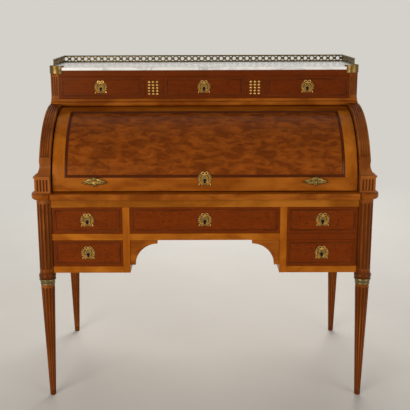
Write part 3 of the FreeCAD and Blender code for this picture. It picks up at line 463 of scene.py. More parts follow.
@dataclass(frozen=True)
class Finish:
    """A surface finish that makes its own material."""

    name: str
    slot: str

    def material(self) -> bpy.types.Material:
        """Finds the finish's material, or makes it the first time.

        Returns:
            The material.
        """
        found = bpy.data.materials.get(self.name)
        if found:
            return found
        material = bpy.data.materials.new(self.name)
        material.use_nodes = True
        material.node_tree.nodes.clear()
        sheet = Sheet(material.node_tree)
        shader = sheet.add("ShaderNodeBsdfPrincipled", self.paint(sheet))
        sheet.add("ShaderNodeOutputMaterial", {"Surface": shader.outputs["BSDF"]})
        return material

    def paint(self, sheet: Sheet) -> dict[str, object]:
        """Draws this finish and gives what its shader's inputs get."""
        raise NotImplementedError


@dataclass(frozen=True)
class WoodFinish(Finish):
    """Polished or plain wood."""

    light: Rgb
    dark: Rgb
    deep: Rgb
    rubbed: Rgb
    grain: Grain = Grain.ACROSS
    figure: float = 0.35
    spots: float = 0.0
    gloss: float = 0.26
    polish: float = 0.08
    polish_roughness: float = 0.14
    sheen: float = 0.13
    sheen_colour: Rgb = (255, 186, 110)
    shift: tuple[float, float, float] = (0.0, 0.0, 0.0)
    fineness: float = 1.0
    grime: float = 0.12
    relief: float = 0.20
    relief_depth: float = 0.4 * MM
    dark_bands: tuple[Flat, ...] = ()
    band_foot: float = 2.0 * MM
    band_head: float = 6.0 * MM

    def hollow(self, sheet: Sheet, place: object) -> object:
        """Adds the mask of the hollows, darkened as painted shade, and of the heights at which the wood is
        drawn darker.

        Args:
            sheet: the material's tree.
            place: the object coordinates' socket.

        Returns:
            The mask's socket.
        """
        mask = sheet.mask("hollow")
        if self.dark_bands:
            height = sheet.add("ShaderNodeSeparateXYZ", {"Vector": place}).outputs["Z"]
            for low, high in self.dark_bands:
                above = sheet.between(height, low, low + self.band_foot)
                below = sheet.between(height, high - self.band_head, high, 1.0, 0.0)
                mask = sheet.calc("MAXIMUM", mask, sheet.calc("MULTIPLY", above, below))
        return mask

    def paint(self, sheet: Sheet) -> dict[str, object]:
        """Lays the wood figure along the grain under a coat of polish.

        Args:
            sheet: the material's tree.

        Returns:
            What the shader's inputs get.
        """
        place = sheet.place()
        laid = sheet.add("ShaderNodeMapping", {
            "Vector": place, "Rotation": self.grain.value, "Location": self.shift,
            "Scale": (self.fineness,) * 3,
        })
        wood = WOOD.place(
            sheet, Grain=laid.outputs["Vector"], Light=linear(self.light), Dark=linear(self.dark),
            Deep=linear(self.deep), Rubbed=linear(self.rubbed), Figure=self.figure, Spots=self.spots,
            Gloss=self.gloss, Edge=sheet.mask("edge"), Hollow=self.hollow(sheet, place),
        )
        grimy = GRIME.place(
            sheet, Place=place, Color=wood["Color"], Grime=linear(self.deep), Amount=self.grime,
        )
        return {
            "Base Color": grimy["Color"],
            "Roughness": wood["Roughness"],
            "Specular IOR Level": self.sheen,
            "Specular Tint": linear(self.sheen_colour),
            "Coat Weight": self.polish,
            "Coat Roughness": self.polish_roughness,
            "Normal": sheet.emboss(wood["Height"], self.relief, self.relief_depth),
        }


@dataclass(frozen=True)
class MetalFinish(Finish):
    """Gilt bronze, old brass or iron."""

    bright: Rgb
    dark: Rgb
    age: float
    metallic: float = 0.92
    relief: float = 0.25
    relief_depth: float = 0.3 * MM

    def paint(self, sheet: Sheet) -> dict[str, object]:
        """Lays the patina over the metal.

        Args:
            sheet: the material's tree.

        Returns:
            What the shader's inputs get.
        """
        metal = PATINA.place(
            sheet, Place=sheet.place(), Bright=linear(self.bright), Dark=linear(self.dark), Age=self.age,
            Hollow=sheet.mask("hollow"),
        )
        return {
            "Base Color": metal["Color"],
            "Roughness": metal["Roughness"],
            "Metallic": self.metallic,
            "Normal": sheet.emboss(metal["Height"], self.relief, self.relief_depth),
        }


@dataclass(frozen=True)
class MarbleFinish(Finish):
    """Pale marble with soft clouds and grey veins."""

    pale: Rgb
    cloud: Rgb
    vein: Rgb
    cloud_noise: Noise = (5.0, 5.0, 0.8)
    cloud_ramp: Ramp = (0.35, 0.70)
    vein_stretch: tuple[float, float, float] = (3.0, 5.0, 5.0)
    vein_noise: Noise = (1.4, 6.0, 1.8)
    vein_level: float = 0.5
    vein_width: float = 0.035
    vein_strength: float = 0.75
    vein_patches: Ramp = (0.40, 0.62)
    dullness: Ramp = (0.3, 0.7, 0.24, 0.36)
    pit_noise: Noise = (220.0, 2.0, 0.0)
    polish: float = 0.15
    relief: float = 0.06
    relief_depth: float = 0.3 * MM

    def paint(self, sheet: Sheet) -> dict[str, object]:
        """Draws veins where a warped noise crosses a level.

        Args:
            sheet: the material's tree.

        Returns:
            What the shader's inputs get.
        """
        place = sheet.place()
        clouds = sheet.noise(place, *self.cloud_noise)
        warp = sheet.noise(sheet.stretch(place, self.vein_stretch), *self.vein_noise)
        crossing = sheet.calc("SUBTRACT", warp, self.vein_level, clamp=False)
        span = sheet.calc("ABSOLUTE", crossing, clamp=False)
        vein = sheet.between(span, 0.0, self.vein_width, self.vein_strength, 0.0)
        vein = sheet.calc("MULTIPLY", vein, sheet.between(clouds, *self.vein_patches))
        cloudy = sheet.between(clouds, *self.cloud_ramp)
        ground = sheet.blend(cloudy, linear(self.pale), linear(self.cloud))
        return {
            "Base Color": sheet.blend(vein, ground, linear(self.vein)),
            "Roughness": sheet.between(clouds, *self.dullness),
            "Coat Weight": self.polish,
            "Normal": sheet.emboss(sheet.noise(place, *self.pit_noise), self.relief, self.relief_depth),
        }


@dataclass(frozen=True)
class LeatherFinish(Finish):
    """Old writing leather with a fine grain and worn patches."""

    worn: Rgb
    deep: Rgb
    wear_noise: Noise = (7.0, 5.0, 0.6)
    wear_ramp: Ramp = (0.36, 0.68)
    seam_ramp: Ramp = (0.2, 0.8, 0.0, 0.3)
    dullness: Ramp = (0.0, 1.0, 0.42, 0.60)
    pebbles_per_metre: float = 700.0
    relief: float = 0.35
    relief_depth: float = 0.3 * MM

    def paint(self, sheet: Sheet) -> dict[str, object]:
        """Mixes worn and deep leather and raises a pebble grain.

        Args:
            sheet: the material's tree.

        Returns:
            What the shader's inputs get.
        """
        place = sheet.place()
        wear = sheet.between(sheet.noise(place, *self.wear_noise), *self.wear_ramp)
        feeds = {"Vector": place, "Scale": self.pebbles_per_metre}
        pebble = sheet.add("ShaderNodeTexVoronoi", feeds, feature="F1").outputs["Distance"]
        colour = sheet.blend(wear, linear(self.deep), linear(self.worn))
        seam = sheet.between(pebble, *self.seam_ramp)
        return {
            "Base Color": sheet.blend(seam, colour, linear(self.deep)),
            "Roughness": sheet.between(wear, *self.dullness),
            "Normal": sheet.emboss(pebble, self.relief, self.relief_depth),
        }


@dataclass(frozen=True)
class FloorFinish(Finish):
    """Plain pale floor that fades out into the backdrop."""

    pale: Rgb
    reach: float
    cloud_noise: Noise = (1.6, 4.0, 0.0)
    cloud_ramp: Ramp = (0.3, 0.7)
    shade_share: float = 0.97
    roughness: float = 0.75
    fade_shares: Flat = (0.35, 0.98)

    def paint(self, sheet: Sheet) -> dict[str, object]:
        """Keeps the floor almost even and lets it fade towards its rim.

        Args:
            sheet: the material's tree.

        Returns:
            What the shader's inputs get.
        """
        place = sheet.place()
        cloud = sheet.between(sheet.noise(place, *self.cloud_noise), *self.cloud_ramp)
        shade = tuple(int(value * self.shade_share) for value in self.pale)
        distance = sheet.add("ShaderNodeVectorMath", {0: place}, operation="LENGTH").outputs["Value"]
        near, far = (share * self.reach for share in self.fade_shares)
        return {
            "Base Color": sheet.blend(cloud, linear(shade), linear(self.pale)),
            "Roughness": self.roughness,
            "Alpha": sheet.between(distance, near, far, 1.0, 0.0),
        }


RED_BROWN = dict(light=(114, 53, 10), dark=(94, 41, 6), deep=(40, 15, 3), rubbed=(156, 90, 32))
GOLDEN = dict(light=(164, 84, 7), dark=(118, 53, 4), deep=(50, 20, 2), rubbed=(186, 110, 28))
LEDGE_TONES = dict(light=(132, 61, 5), dark=(90, 37, 2), deep=(40, 14, 2), rubbed=(172, 96, 26))
DRY_OAK = dict(light=(176, 138, 86), dark=(136, 98, 54), deep=(84, 58, 32), rubbed=(190, 156, 108))

# Leg wood is drawn darker from the floor to 28 mm up and from 453 to 476 mm up.
LEG_WOOD = WoodFinish(
    "leg_mahogany", "mahogany", (130, 62, 14), (86, 37, 7), (22, 8, 2), (166, 96, 40),
    grain=Grain.UPRIGHT, figure=0.25, dark_bands=((-0.01, 0.028), (0.453, 0.476)),
)
BOARD_WOOD = WoodFinish(
    "board_mahogany", "mahogany", **RED_BROWN, grain=Grain.BACKWARDS, figure=0.22,
    shift=(0.3, 0.1, 0.2), fineness=2.2, grime=0.05,
)
FRONT_WOOD = WoodFinish(
    "front_mahogany", "mahogany", (134, 55, 4), (82, 27, 1), (32, 9, 1), (100, 38, 4),
    figure=0.75, spots=0.55, polish=0.09, shift=(0.7, 0.4, 0.0), fineness=3.4,
)
UPPER_WOOD = WoodFinish(
    "upper_mahogany", "mahogany", (121, 47, 3), (78, 25, 1), (28, 8, 1), (96, 38, 5),
    figure=0.5, spots=0.35, polish=0.09, shift=(0.2, 0.6, 0.0), fineness=2.4,
)
MOULDING_WOOD = WoodFinish(
    "moulding_mahogany", "mahogany", (88, 35, 5), (56, 19, 2), (22, 7, 1), (116, 52, 12),
    figure=0.2, gloss=0.24, polish=0.10,
)
FALL_WOOD = WoodFinish(
    "figured_mahogany", "mahogany", (112, 47, 3), (90, 35, 2), (44, 13, 1), (152, 77, 18),
    figure=0.55, spots=0.55, gloss=0.24, shift=(0.2, 0.9, 0.3), fineness=4.6, grime=0.3,
)
FALL_RAIL_WOOD = WoodFinish(
    "fall_rail_mahogany", "light_mahogany", (146, 70, 5), (104, 45, 3), (46, 17, 2), (176, 100, 26),
    shift=(0.6, 0.3, 0.2), fineness=1.3,
)
TOP_RAIL_WOOD = WoodFinish(
    "top_rail_mahogany", "light_mahogany", (150, 80, 9), (104, 50, 5), (46, 19, 2), (180, 108, 30),
    figure=0.45, shift=(0.4, 0.1, 0.5), fineness=1.2,
)
RAIL_WOOD = WoodFinish(
    "rail_mahogany", "light_mahogany", **GOLDEN, figure=0.3, shift=(0.1, 0.6, 0.8), fineness=1.3,
)
STILE_WOOD = WoodFinish(
    "stile_mahogany", "light_mahogany", **GOLDEN, grain=Grain.UPRIGHT, figure=0.25,
)
LEDGE_WOOD = WoodFinish(
    "ledge_mahogany", "light_mahogany", **LEDGE_TONES, figure=0.55, shift=(0.5, 0.2, 0.6), fineness=1.6,
)
LEDGE_SIDE_WOOD = WoodFinish(
    "ledge_side_mahogany", "light_mahogany", **LEDGE_TONES, grain=Grain.BACKWARDS,
)
INNER_WOOD = WoodFinish(
    "inner_mahogany", "mahogany", **RED_BROWN, figure=0.25, shift=(0.2, 0.7, 0.1), fineness=2.0,
    grime=0.05,
)
OAK = WoodFinish(
    "dry_oak", "oak", **DRY_OAK, grain=Grain.BACKWARDS, figure=0.2, gloss=0.55, polish=0.0,
)
OAK_ACROSS = WoodFinish("dry_oak_across", "oak", **DRY_OAK, figure=0.2, gloss=0.55, polish=0.0)
GILT = MetalFinish("fire_gilt_bronze", "gilt_bronze", (236, 190, 106), (34, 24, 8), 0.5)
PULL_GILT = MetalFinish("worn_gilt_bronze", "gilt_bronze", (176, 148, 84), (26, 20, 7), 0.7)
OLD_BRASS = MetalFinish("old_brass", "aged_brass", (132, 116, 74), (62, 54, 34), 0.7)
GALLERY_BRASS = MetalFinish("gallery_brass", "aged_brass", (118, 102, 66), (44, 37, 25), 0.8)
CAP_BRASS = MetalFinish("cap_brass", "aged_brass", (118, 93, 49), (42, 31, 14), 0.6)
IRON = MetalFinish("oiled_iron", "wrought_iron", (72, 68, 64), (12, 10, 9), 0.7)
MARBLE = MarbleFinish("white_marble", "marble", (248, 245, 240), (230, 227, 220), (172, 169, 164))
LEATHER = LeatherFinish("worn_leather", "writing_leather", (112, 52, 30), (66, 26, 14))
FLOOR = FloorFinish("pale_floor", "floor", (218, 213, 204), 3.4)


# Mesh tools


class Shaper:
    """Collects closed shells in one mesh."""

    def __init__(self) -> None:
        """Starts an empty mesh."""
        self.bm = bmesh.new()

    def loft(self, rings: Sequence[Ring], loop: bool = False) -> None:
        """Skins a row of closed rings.

        Args:
            rings: rings of the same number of points.
            loop: whether the last ring joins the first, and otherwise both ends are capped.
        """
        rows = [[self.bm.verts.new(point) for point in ring] for ring in rings]
        count = len(rows[0])
        pairs = list(zip(rows, rows[1:])) + ([(rows[-1], rows[0])] if loop else [])
        for low, high in pairs:
            for i in range(count):
                j = (i + 1) % count
                self.bm.faces.new((low[i], low[j], high[j], high[i]))
        if not loop:
            self.bm.faces.new(rows[0][::-1])
            self.bm.faces.new(rows[-1])

    def tube(self, path: Sequence[Vector], wide: Sequence[float], deep: float, sides: int,
             loop: bool = False) -> None:
        """Sweeps an oval along a path that lies across Y.

        Args:
            path: points of the path.
            wide: half width of the oval at each point.
            deep: half depth of the oval along Y, as a share of its half width.
            sides: corners of the oval.
            loop: whether the path closes on itself.
        """
        rings = []
        last = len(path) - 1
        for i, point in enumerate(path):
            before = path[(i - 1) % len(path)] if loop else path[max(i - 1, 0)]
            after = path[(i + 1) % len(path)] if loop else path[min(i + 1, last)]
            side = (after - before).normalized().cross(Vector((0, 1, 0))).normalized()
            corners = oval(sides, wide[i], wide[i] * deep)
            rings.append([point + side * across + Vector((0, depth, 0)) for across, depth in corners])
        self.loft(rings, loop)

    def bead(self, centre: Vector, tall: float, wide: float, deep: float, sides: int, rows: int,
             blunt: float, least: float) -> None:
        """Adds an upright bead with blunt ends.

        Args:
            centre: its middle.
            tall: half its height.
            wide: half its width.
            deep: half its depth as a share of its half width.
            sides: corners of its plan.
            rows: rows of faces above its middle, and as many below.
            blunt: rows that are left out at each end.
            least: half width of its ends as a share of its half width.
        """
        levels = range(2 * rows + 1)
        path = [centre + Vector((0, 0, tall * (k / rows - 1))) for k in levels]
        bulge = [math.sin(math.pi * (k + blunt) / (2 * rows + 2 * blunt)) for k in levels]
        self.tube(path, [wide * max(share, least) for share in bulge], deep, sides)

    def lathe(self, section: Sequence[Flat], segments: int) -> None:
        """Turns a closed section of radii and heights about Z.

        Args:
            section: corners of the section.
            segments: steps of the full turn.
        """
        rings = []
        for angle in turns(segments):
            across, back = math.cos(angle), math.sin(angle)
            rings.append([Vector((radius * across, radius * back, z)) for radius, z in section])
        self.loft(rings, loop=True)

    def slab(self, outline: Sequence[Flat], low: float, high: float) -> None:
        """Raises a flat outline between two heights."""
        self.loft([[Vector((x, y, z)) for x, y in outline] for z in (low, high)])

    def frame(self, corners: tuple[float, float, float, float], section: Sequence[Flat], steps: int,
              lift: Lift) -> None:
        """Runs a mitred moulding round a rectangle on a face.

        Args:
            corners: low and high end across, then low and high end along the face.
            section: inset from the rectangle and height above the face, round the moulding's section.
            steps: pieces that each upright side is cut into.
            lift: gives the point at a place across, along and above the face.
        """
        x0, x1, s0, s1 = corners
        rings = []
        for inset, height in section:
            low, high = s0 + inset, s1 - inset
            rise = [low + (high - low) * k / steps for k in range(steps + 1)]
            points = [(x1 - inset, s) for s in rise] + [(x0 + inset, s) for s in reversed(rise)]
            rings.append([lift(x, s, height) for x, s in points])
        self.loft(rings, loop=True)

    def stamp(self, mesh: bpy.types.Mesh, place: Optional[Matrix] = None) -> None:
        """Adds a copy of another mesh.

        Args:
            mesh: what is copied.
            place: where the copy goes, and it stays in place where this is left out.
        """
        count = len(self.bm.verts)
        self.bm.from_mesh(mesh)
        if place:
            self.bm.verts.ensure_lookup_table()
            bmesh.ops.transform(self.bm, matrix=place, verts=self.bm.verts[count:])

    def finish(self, name: str, smooth: bool = True, crease: float = 50.0) -> bpy.types.Mesh:
        """Turns the shells outwards and makes a mesh of them.

        Args:
            name: the mesh's name.
            smooth: whether its faces are shaded smooth.
            crease: angle in degrees past which an edge stays sharp.

        Returns:
            The mesh.
        """
        bmesh.ops.recalc_face_normals(self.bm, faces=self.bm.faces)
        if smooth:
            shade_smooth(self.bm, crease)
        return as_mesh(self.bm, name)


def as_mesh(bm: bmesh.types.BMesh, name: str) -> bpy.types.Mesh:
    """Writes a working mesh out and frees it.

    Args:
        bm: the working mesh.
        name: the new mesh's name.

    Returns:
        The new mesh.
    """
    mesh = bpy.data.meshes.new(name)
    bm.to_mesh(mesh)
    bm.free()
    return mesh


def shade_smooth(bm: bmesh.types.BMesh, crease: float) -> None:
    """Shades a mesh smooth but for the edges that turn by more than an angle.

    Args:
        bm: the mesh.
        crease: the angle in degrees.
    """
    bm.normal_update()
    for face in bm.faces:
        face.smooth = True
    for edge in bm.edges:
        edge.smooth = not edge.is_manifold or edge.calc_face_angle() < math.radians(crease)


def islands(things: Iterable, near: Callable[[object], Iterable]) -> list[list]:
    """Sorts parts of a mesh into groups that hang together.

    Args:
        things: the mesh's faces or corners.
        near: gives those that one of them hangs together with.

    Returns:
        The groups.
    """
    seen = set()
    groups = []
    for start in things:
        if start in seen:
            continue
        seen.add(start)
        group = [start]
        for thing in group:
            for other in near(thing):
                if other not in seen:
                    seen.add(other)
                    group.append(other)
        groups.append(group)
    return groups


def faces_beside(face: bmesh.types.BMFace) -> list[bmesh.types.BMFace]:
    """Gives the faces that share an edge with a face and with no third one."""
    return [other for edge in face.edges if edge.is_manifold for other in edge.link_faces]


def corners_beside(corner: bmesh.types.BMVert) -> list[bmesh.types.BMVert]:
    """Gives the corners at the other ends of a corner's edges."""
    return [edge.other_vert(corner) for edge in corner.link_edges]


def mark_hollow(mesh: bpy.types.Mesh, values: Sequence[float]) -> None:
    """Gives a mesh the mask named hollow, with a value for each point."""
    mesh.attributes.new("hollow", "FLOAT", "POINT").data.foreach_set("value", values)


# Height of an ornament, as a share of its crest, at which its painted shade, part patina, is darkest and
# from which it is bright.
DARK_SHARE, BRIGHT_SHARE = 0.3, 0.8


def shade_hollows(mesh: bpy.types.Mesh, seat: float, crest: float) -> None:
    """Marks how far each point of an ornament lies below its crest, so that its hollows darken: part
    patina, part painted shade.

    Args:
        mesh: an ornament that faces -Y.
        seat: Y of the face it lies on.
        crest: height of its highest points.
    """
    rises = [(seat - vertex.co.y) / crest for vertex in mesh.vertices]
    mark_hollow(mesh, [clip((BRIGHT_SHARE - rise) / (BRIGHT_SHARE - DARK_SHARE)) for rise in rises])


class Pivot(Enum):
    """Axis about which copies turn to follow a path."""

    ON_A_FACE = "Y"
    IN_PLAN = "Z"


@dataclass(frozen=True)
class PathRepeater:
    """Geometry nodes that set copies of a piece along a path."""

    name: str
    pivot: Pivot

    def tree(self) -> bpy.types.NodeTree:
        """Finds the tree, or builds it the first time.

        Returns:
            The tree.
        """
        found = bpy.data.node_groups.get(self.name)
        if found:
            return found
        tree = bpy.data.node_groups.new(self.name, "GeometryNodeTree")
        for name, kind in (("Path", "Geometry"), ("Piece", "Object"), ("Count", "Int"), ("Tilt", "Float"),
                           ("Taper", "Float"), ("Finish", "Material")):
            tree.interface.new_socket(name, in_out="INPUT", socket_type="NodeSocket" + kind)
        tree.interface.new_socket("Pieces", in_out="OUTPUT", socket_type="NodeSocketGeometry")
        sheet = Sheet(tree)
        start = sheet.add("NodeGroupInput").outputs
        curve = sheet.add("GeometryNodeMeshToCurve", {"Mesh": start["Path"]}).outputs["Curve"]
        feeds = {"Curve": curve, "Count": start["Count"]}
        spots = sheet.add("GeometryNodeCurveToPoints", feeds, mode="COUNT").outputs
        piece = sheet.add("GeometryNodeObjectInfo", {"Object": start["Piece"]}, transform_space="ORIGINAL")
        copies = sheet.add("GeometryNodeInstanceOnPoints", {
            "Points": spots["Points"], "Instance": piece.outputs["Geometry"],
            "Rotation": self.turn(sheet, start, spots), "Scale": self.size(sheet, start),
        })
        real = sheet.add("GeometryNodeRealizeInstances", {"Geometry": copies.outputs["Instances"]})
        feeds = {"Geometry": real.outputs["Geometry"], "Material": start["Finish"]}
        dressed = sheet.add("GeometryNodeSetMaterial", feeds)
        sheet.add("NodeGroupOutput", {"Pieces": dressed.outputs["Geometry"]})
        return tree

    def turn(self, sheet: Sheet, start: Mapping[str, object], spots: Mapping[str, object]) -> object:
        """Turns each copy along the path and leans every other one to the other side.

        Args:
            sheet: the tree.
            start: the tree's inputs.
            spots: the points along the path.

        Returns:
            The turn's socket.
        """
        feeds = {"Vector": spots["Tangent"]}
        aim = sheet.add("FunctionNodeAlignRotationToVector", feeds, axis="X", pivot_axis=self.pivot.value)
        index = sheet.add("GeometryNodeInputIndex").outputs["Index"]
        odd = sheet.calc("MODULO", index, 2.0, clamp=False)
        side = sheet.calc("MULTIPLY_ADD", odd, 2.0, -1.0, clamp=False)
        lean = sheet.calc("MULTIPLY", side, start["Tilt"], clamp=False)
        spin = sheet.add("FunctionNodeAxisAngleToRotation", {"Axis": (0, 1, 0), "Angle": lean})
        feeds = {"Rotation": aim.outputs["Rotation"], "Rotate By": spin.outputs["Rotation"]}
        both = sheet.add("FunctionNodeRotateRotation", feeds, rotation_space="LOCAL")
        return both.outputs["Rotation"]

    @staticmethod
    def size(sheet: Sheet, start: Mapping[str, object]) -> object:
        """Makes each copy smaller than the one before it, by the taper.

        Args:
            sheet: the tree.
            start: the tree's inputs.

        Returns:
            The size's socket.
        """
        index = sheet.add("GeometryNodeInputIndex").outputs["Index"]
        share = sheet.calc("DIVIDE", index, start["Count"], clamp=False)
        loss = sheet.calc("MULTIPLY", share, start["Taper"], clamp=False)
        return sheet.calc("SUBTRACT", 1.0, loss, clamp=False)

    def run(self, path: Sequence[Vector], piece: bpy.types.Mesh, count: int, finish: Finish,
            tilt: float = 0.0, taper: float = 0.0) -> bpy.types.Mesh:
        """Sets copies of a mesh along a path.

        Args:
            path: points of the path.
            piece: what is copied, drawn along X.
            count: how many copies there are, the first and last at the path's ends.
            finish: what the copies are made of.
            tilt: how far the copies lean to one side and the other by turns, in radians.
            taper: share of their size that the copies lose towards the path's end.

        Returns:
            One plain mesh.
        """
        line = bpy.data.meshes.new(self.name + "_path")
        line.from_pydata(path, [(i, i + 1) for i in range(len(path) - 1)], [])
        holder = hang(self.name + "_path", line)
        sample = hang(self.name + "_piece", piece)
        modifier = holder.modifiers.new("repeat", "NODES")
        modifier.node_group = self.tree()
        given = {"Piece": sample, "Count": count, "Tilt": tilt, "Taper": taper, "Finish": finish.material()}
        for item in modifier.node_group.interface.items_tree:
            if item.name in given:
                modifier[item.identifier] = given[item.name]
        mesh = plain_mesh(holder)
        bpy.data.objects.remove(sample)
        return mesh


FLAT_REPEATER = PathRepeater("pieces_on_a_face", Pivot.ON_A_FACE)
PLAN_REPEATER = PathRepeater("pieces_in_plan", Pivot.IN_PLAN)


# Copies of nodes


WELD = 0.005 * MM
FLAT_ANGLE = math.radians(0.5)
EASED_ANGLE = math.radians(40)
ARRIS_ANGLE = math.radians(25)
FLUTE_ANGLE = math.radians(4)
BOARD_CREASE = 60.0
FLUTE_CREASE = 35.0
BEVEL_SEGMENTS = 2
CASE_EDGE = 0.8 * MM
CASE_CORNERS = 12


def welded(node: str) -> bmesh.types.BMesh:
    """Copies a node's mesh and joins its loose triangles.

    Args:
        node: the node that is copied.

    Returns:
        A working mesh.
    """
    bm = bmesh.new()
    bm.from_mesh(frame["nodes"][node].data)
    bmesh.ops.remove_doubles(bm, verts=bm.verts, dist=WELD)
    return bm


def bevel(bm: bmesh.types.BMesh, edges: Sequence[bmesh.types.BMEdge], width: float) -> list:
    """Rounds edges over.

    Args:
        bm: the mesh.
        edges: its edges that are rounded.
        width: how wide the round is.

    Returns:
        The new faces.
    """
    made = bmesh.ops.bevel(
        bm, geom=edges, offset=width, segments=BEVEL_SEGMENTS, profile=0.5, affect="EDGES",
        clamp_overlap=True, offset_type="OFFSET",
    )
    return made["faces"]


def weighted(mesh: bpy.types.Mesh) -> bpy.types.Mesh:
    """Bends a mesh's normals towards its large faces, so that only its eased edges look round.

    Args:
        mesh: the mesh, which is used up.

    Returns:
        The mesh that takes its place.
    """
    name = mesh.name
    holder = hang("weighing", mesh)
    holder.modifiers.new("weigh", "WEIGHTED_NORMAL").keep_sharp = True
    result = plain_mesh(holder)
    bpy.data.meshes.remove(mesh)
    result.name = name
    return result


def eased_copy(node: str, width: float, pick: Optional[Pick]) -> bpy.types.Mesh:
    """Copies a node's mesh and eases its sharp outer edges.

    Args:
        node: the node that is copied.
        width: how wide the eased edges are.
        pick: tells by its middle whether an edge is eased, and all are where it is left out.

    Returns:
        A mesh with a mask named edge on its eased edges.
    """
    bm = welded(node)
    for solid in islands(bm.faces, faces_beside)[1:]:
        bmesh.ops.split(bm, geom=solid, use_only_faces=True)
    bmesh.ops.dissolve_limit(bm, angle_limit=FLAT_ANGLE, verts=bm.verts, edges=bm.edges)
    inner = [edge for edge in bm.edges if edge.is_manifold]
    sharp = [edge for edge in inner if edge.calc_face_angle_signed() > EASED_ANGLE]
    if pick:
        sharp = [edge for edge in sharp if pick((edge.verts[0].co + edge.verts[1].co) / 2)]
    mask = bm.verts.layers.float.new("edge")
    for face in bevel(bm, sharp, width):
        for vertex in face.verts:
            vertex[mask] = 1.0
    shade_smooth(bm, BOARD_CREASE)
    return weighted(as_mesh(bm, node + "_board"))


def fluted_copy(node: str) -> bpy.types.Mesh:
    """Copies a fluted node's mesh.

    Args:
        node: the node that is copied.

    Returns:
        A mesh with a mask named edge on its arrises and one named hollow in its flutes, which darkens them
        as painted shade.
    """
    bm = welded(node)
    edge_mask = bm.verts.layers.float.new("edge")
    # The hollow mask paints shade into the flutes.
    hollow_mask = bm.verts.layers.float.new("hollow")
    for vertex in bm.verts:
        bends = [edge.calc_face_angle_signed() for edge in vertex.link_edges if edge.is_manifold]
        if max(bends, default=0.0) > ARRIS_ANGLE:
            vertex[edge_mask] = 1.0
        elif min(bends, default=0.0) < -FLUTE_ANGLE:
            vertex[hollow_mask] = 1.0
    shade_smooth(bm, FLUTE_CREASE)
    return weighted(as_mesh(bm, node + "_fluted"))


def lock_cases(node: str) -> bpy.types.Mesh:
    """Copies the plain lock cases out of a lock node, with their edges eased.

    Args:
        node: a node that holds keyhole plates and cases.

    Returns:
        The cases alone.
    """
    bm = welded(node)
    for island in islands(bm.verts, corners_beside):
        if len(island) > CASE_CORNERS:
            bmesh.ops.delete(bm, geom=island, context="VERTS")
    bmesh.ops.dissolve_limit(bm, angle_limit=FLAT_ANGLE, verts=bm.verts, edges=bm.edges)
    bevel(bm, list(bm.edges), CASE_EDGE)
    return as_mesh(bm, node + "_case")


# Gilt ornaments


# Smallest share of a direction that counts as leaning.
TINY = 1e-9


def oval_reach(angle: float, wide: float, tall: float, scale: float = 1.0) -> float:
    """Gives the distance from the middle of a scaled oval to its rim in a direction."""
    return scale / math.hypot(math.cos(angle) / wide, math.sin(angle) / tall)


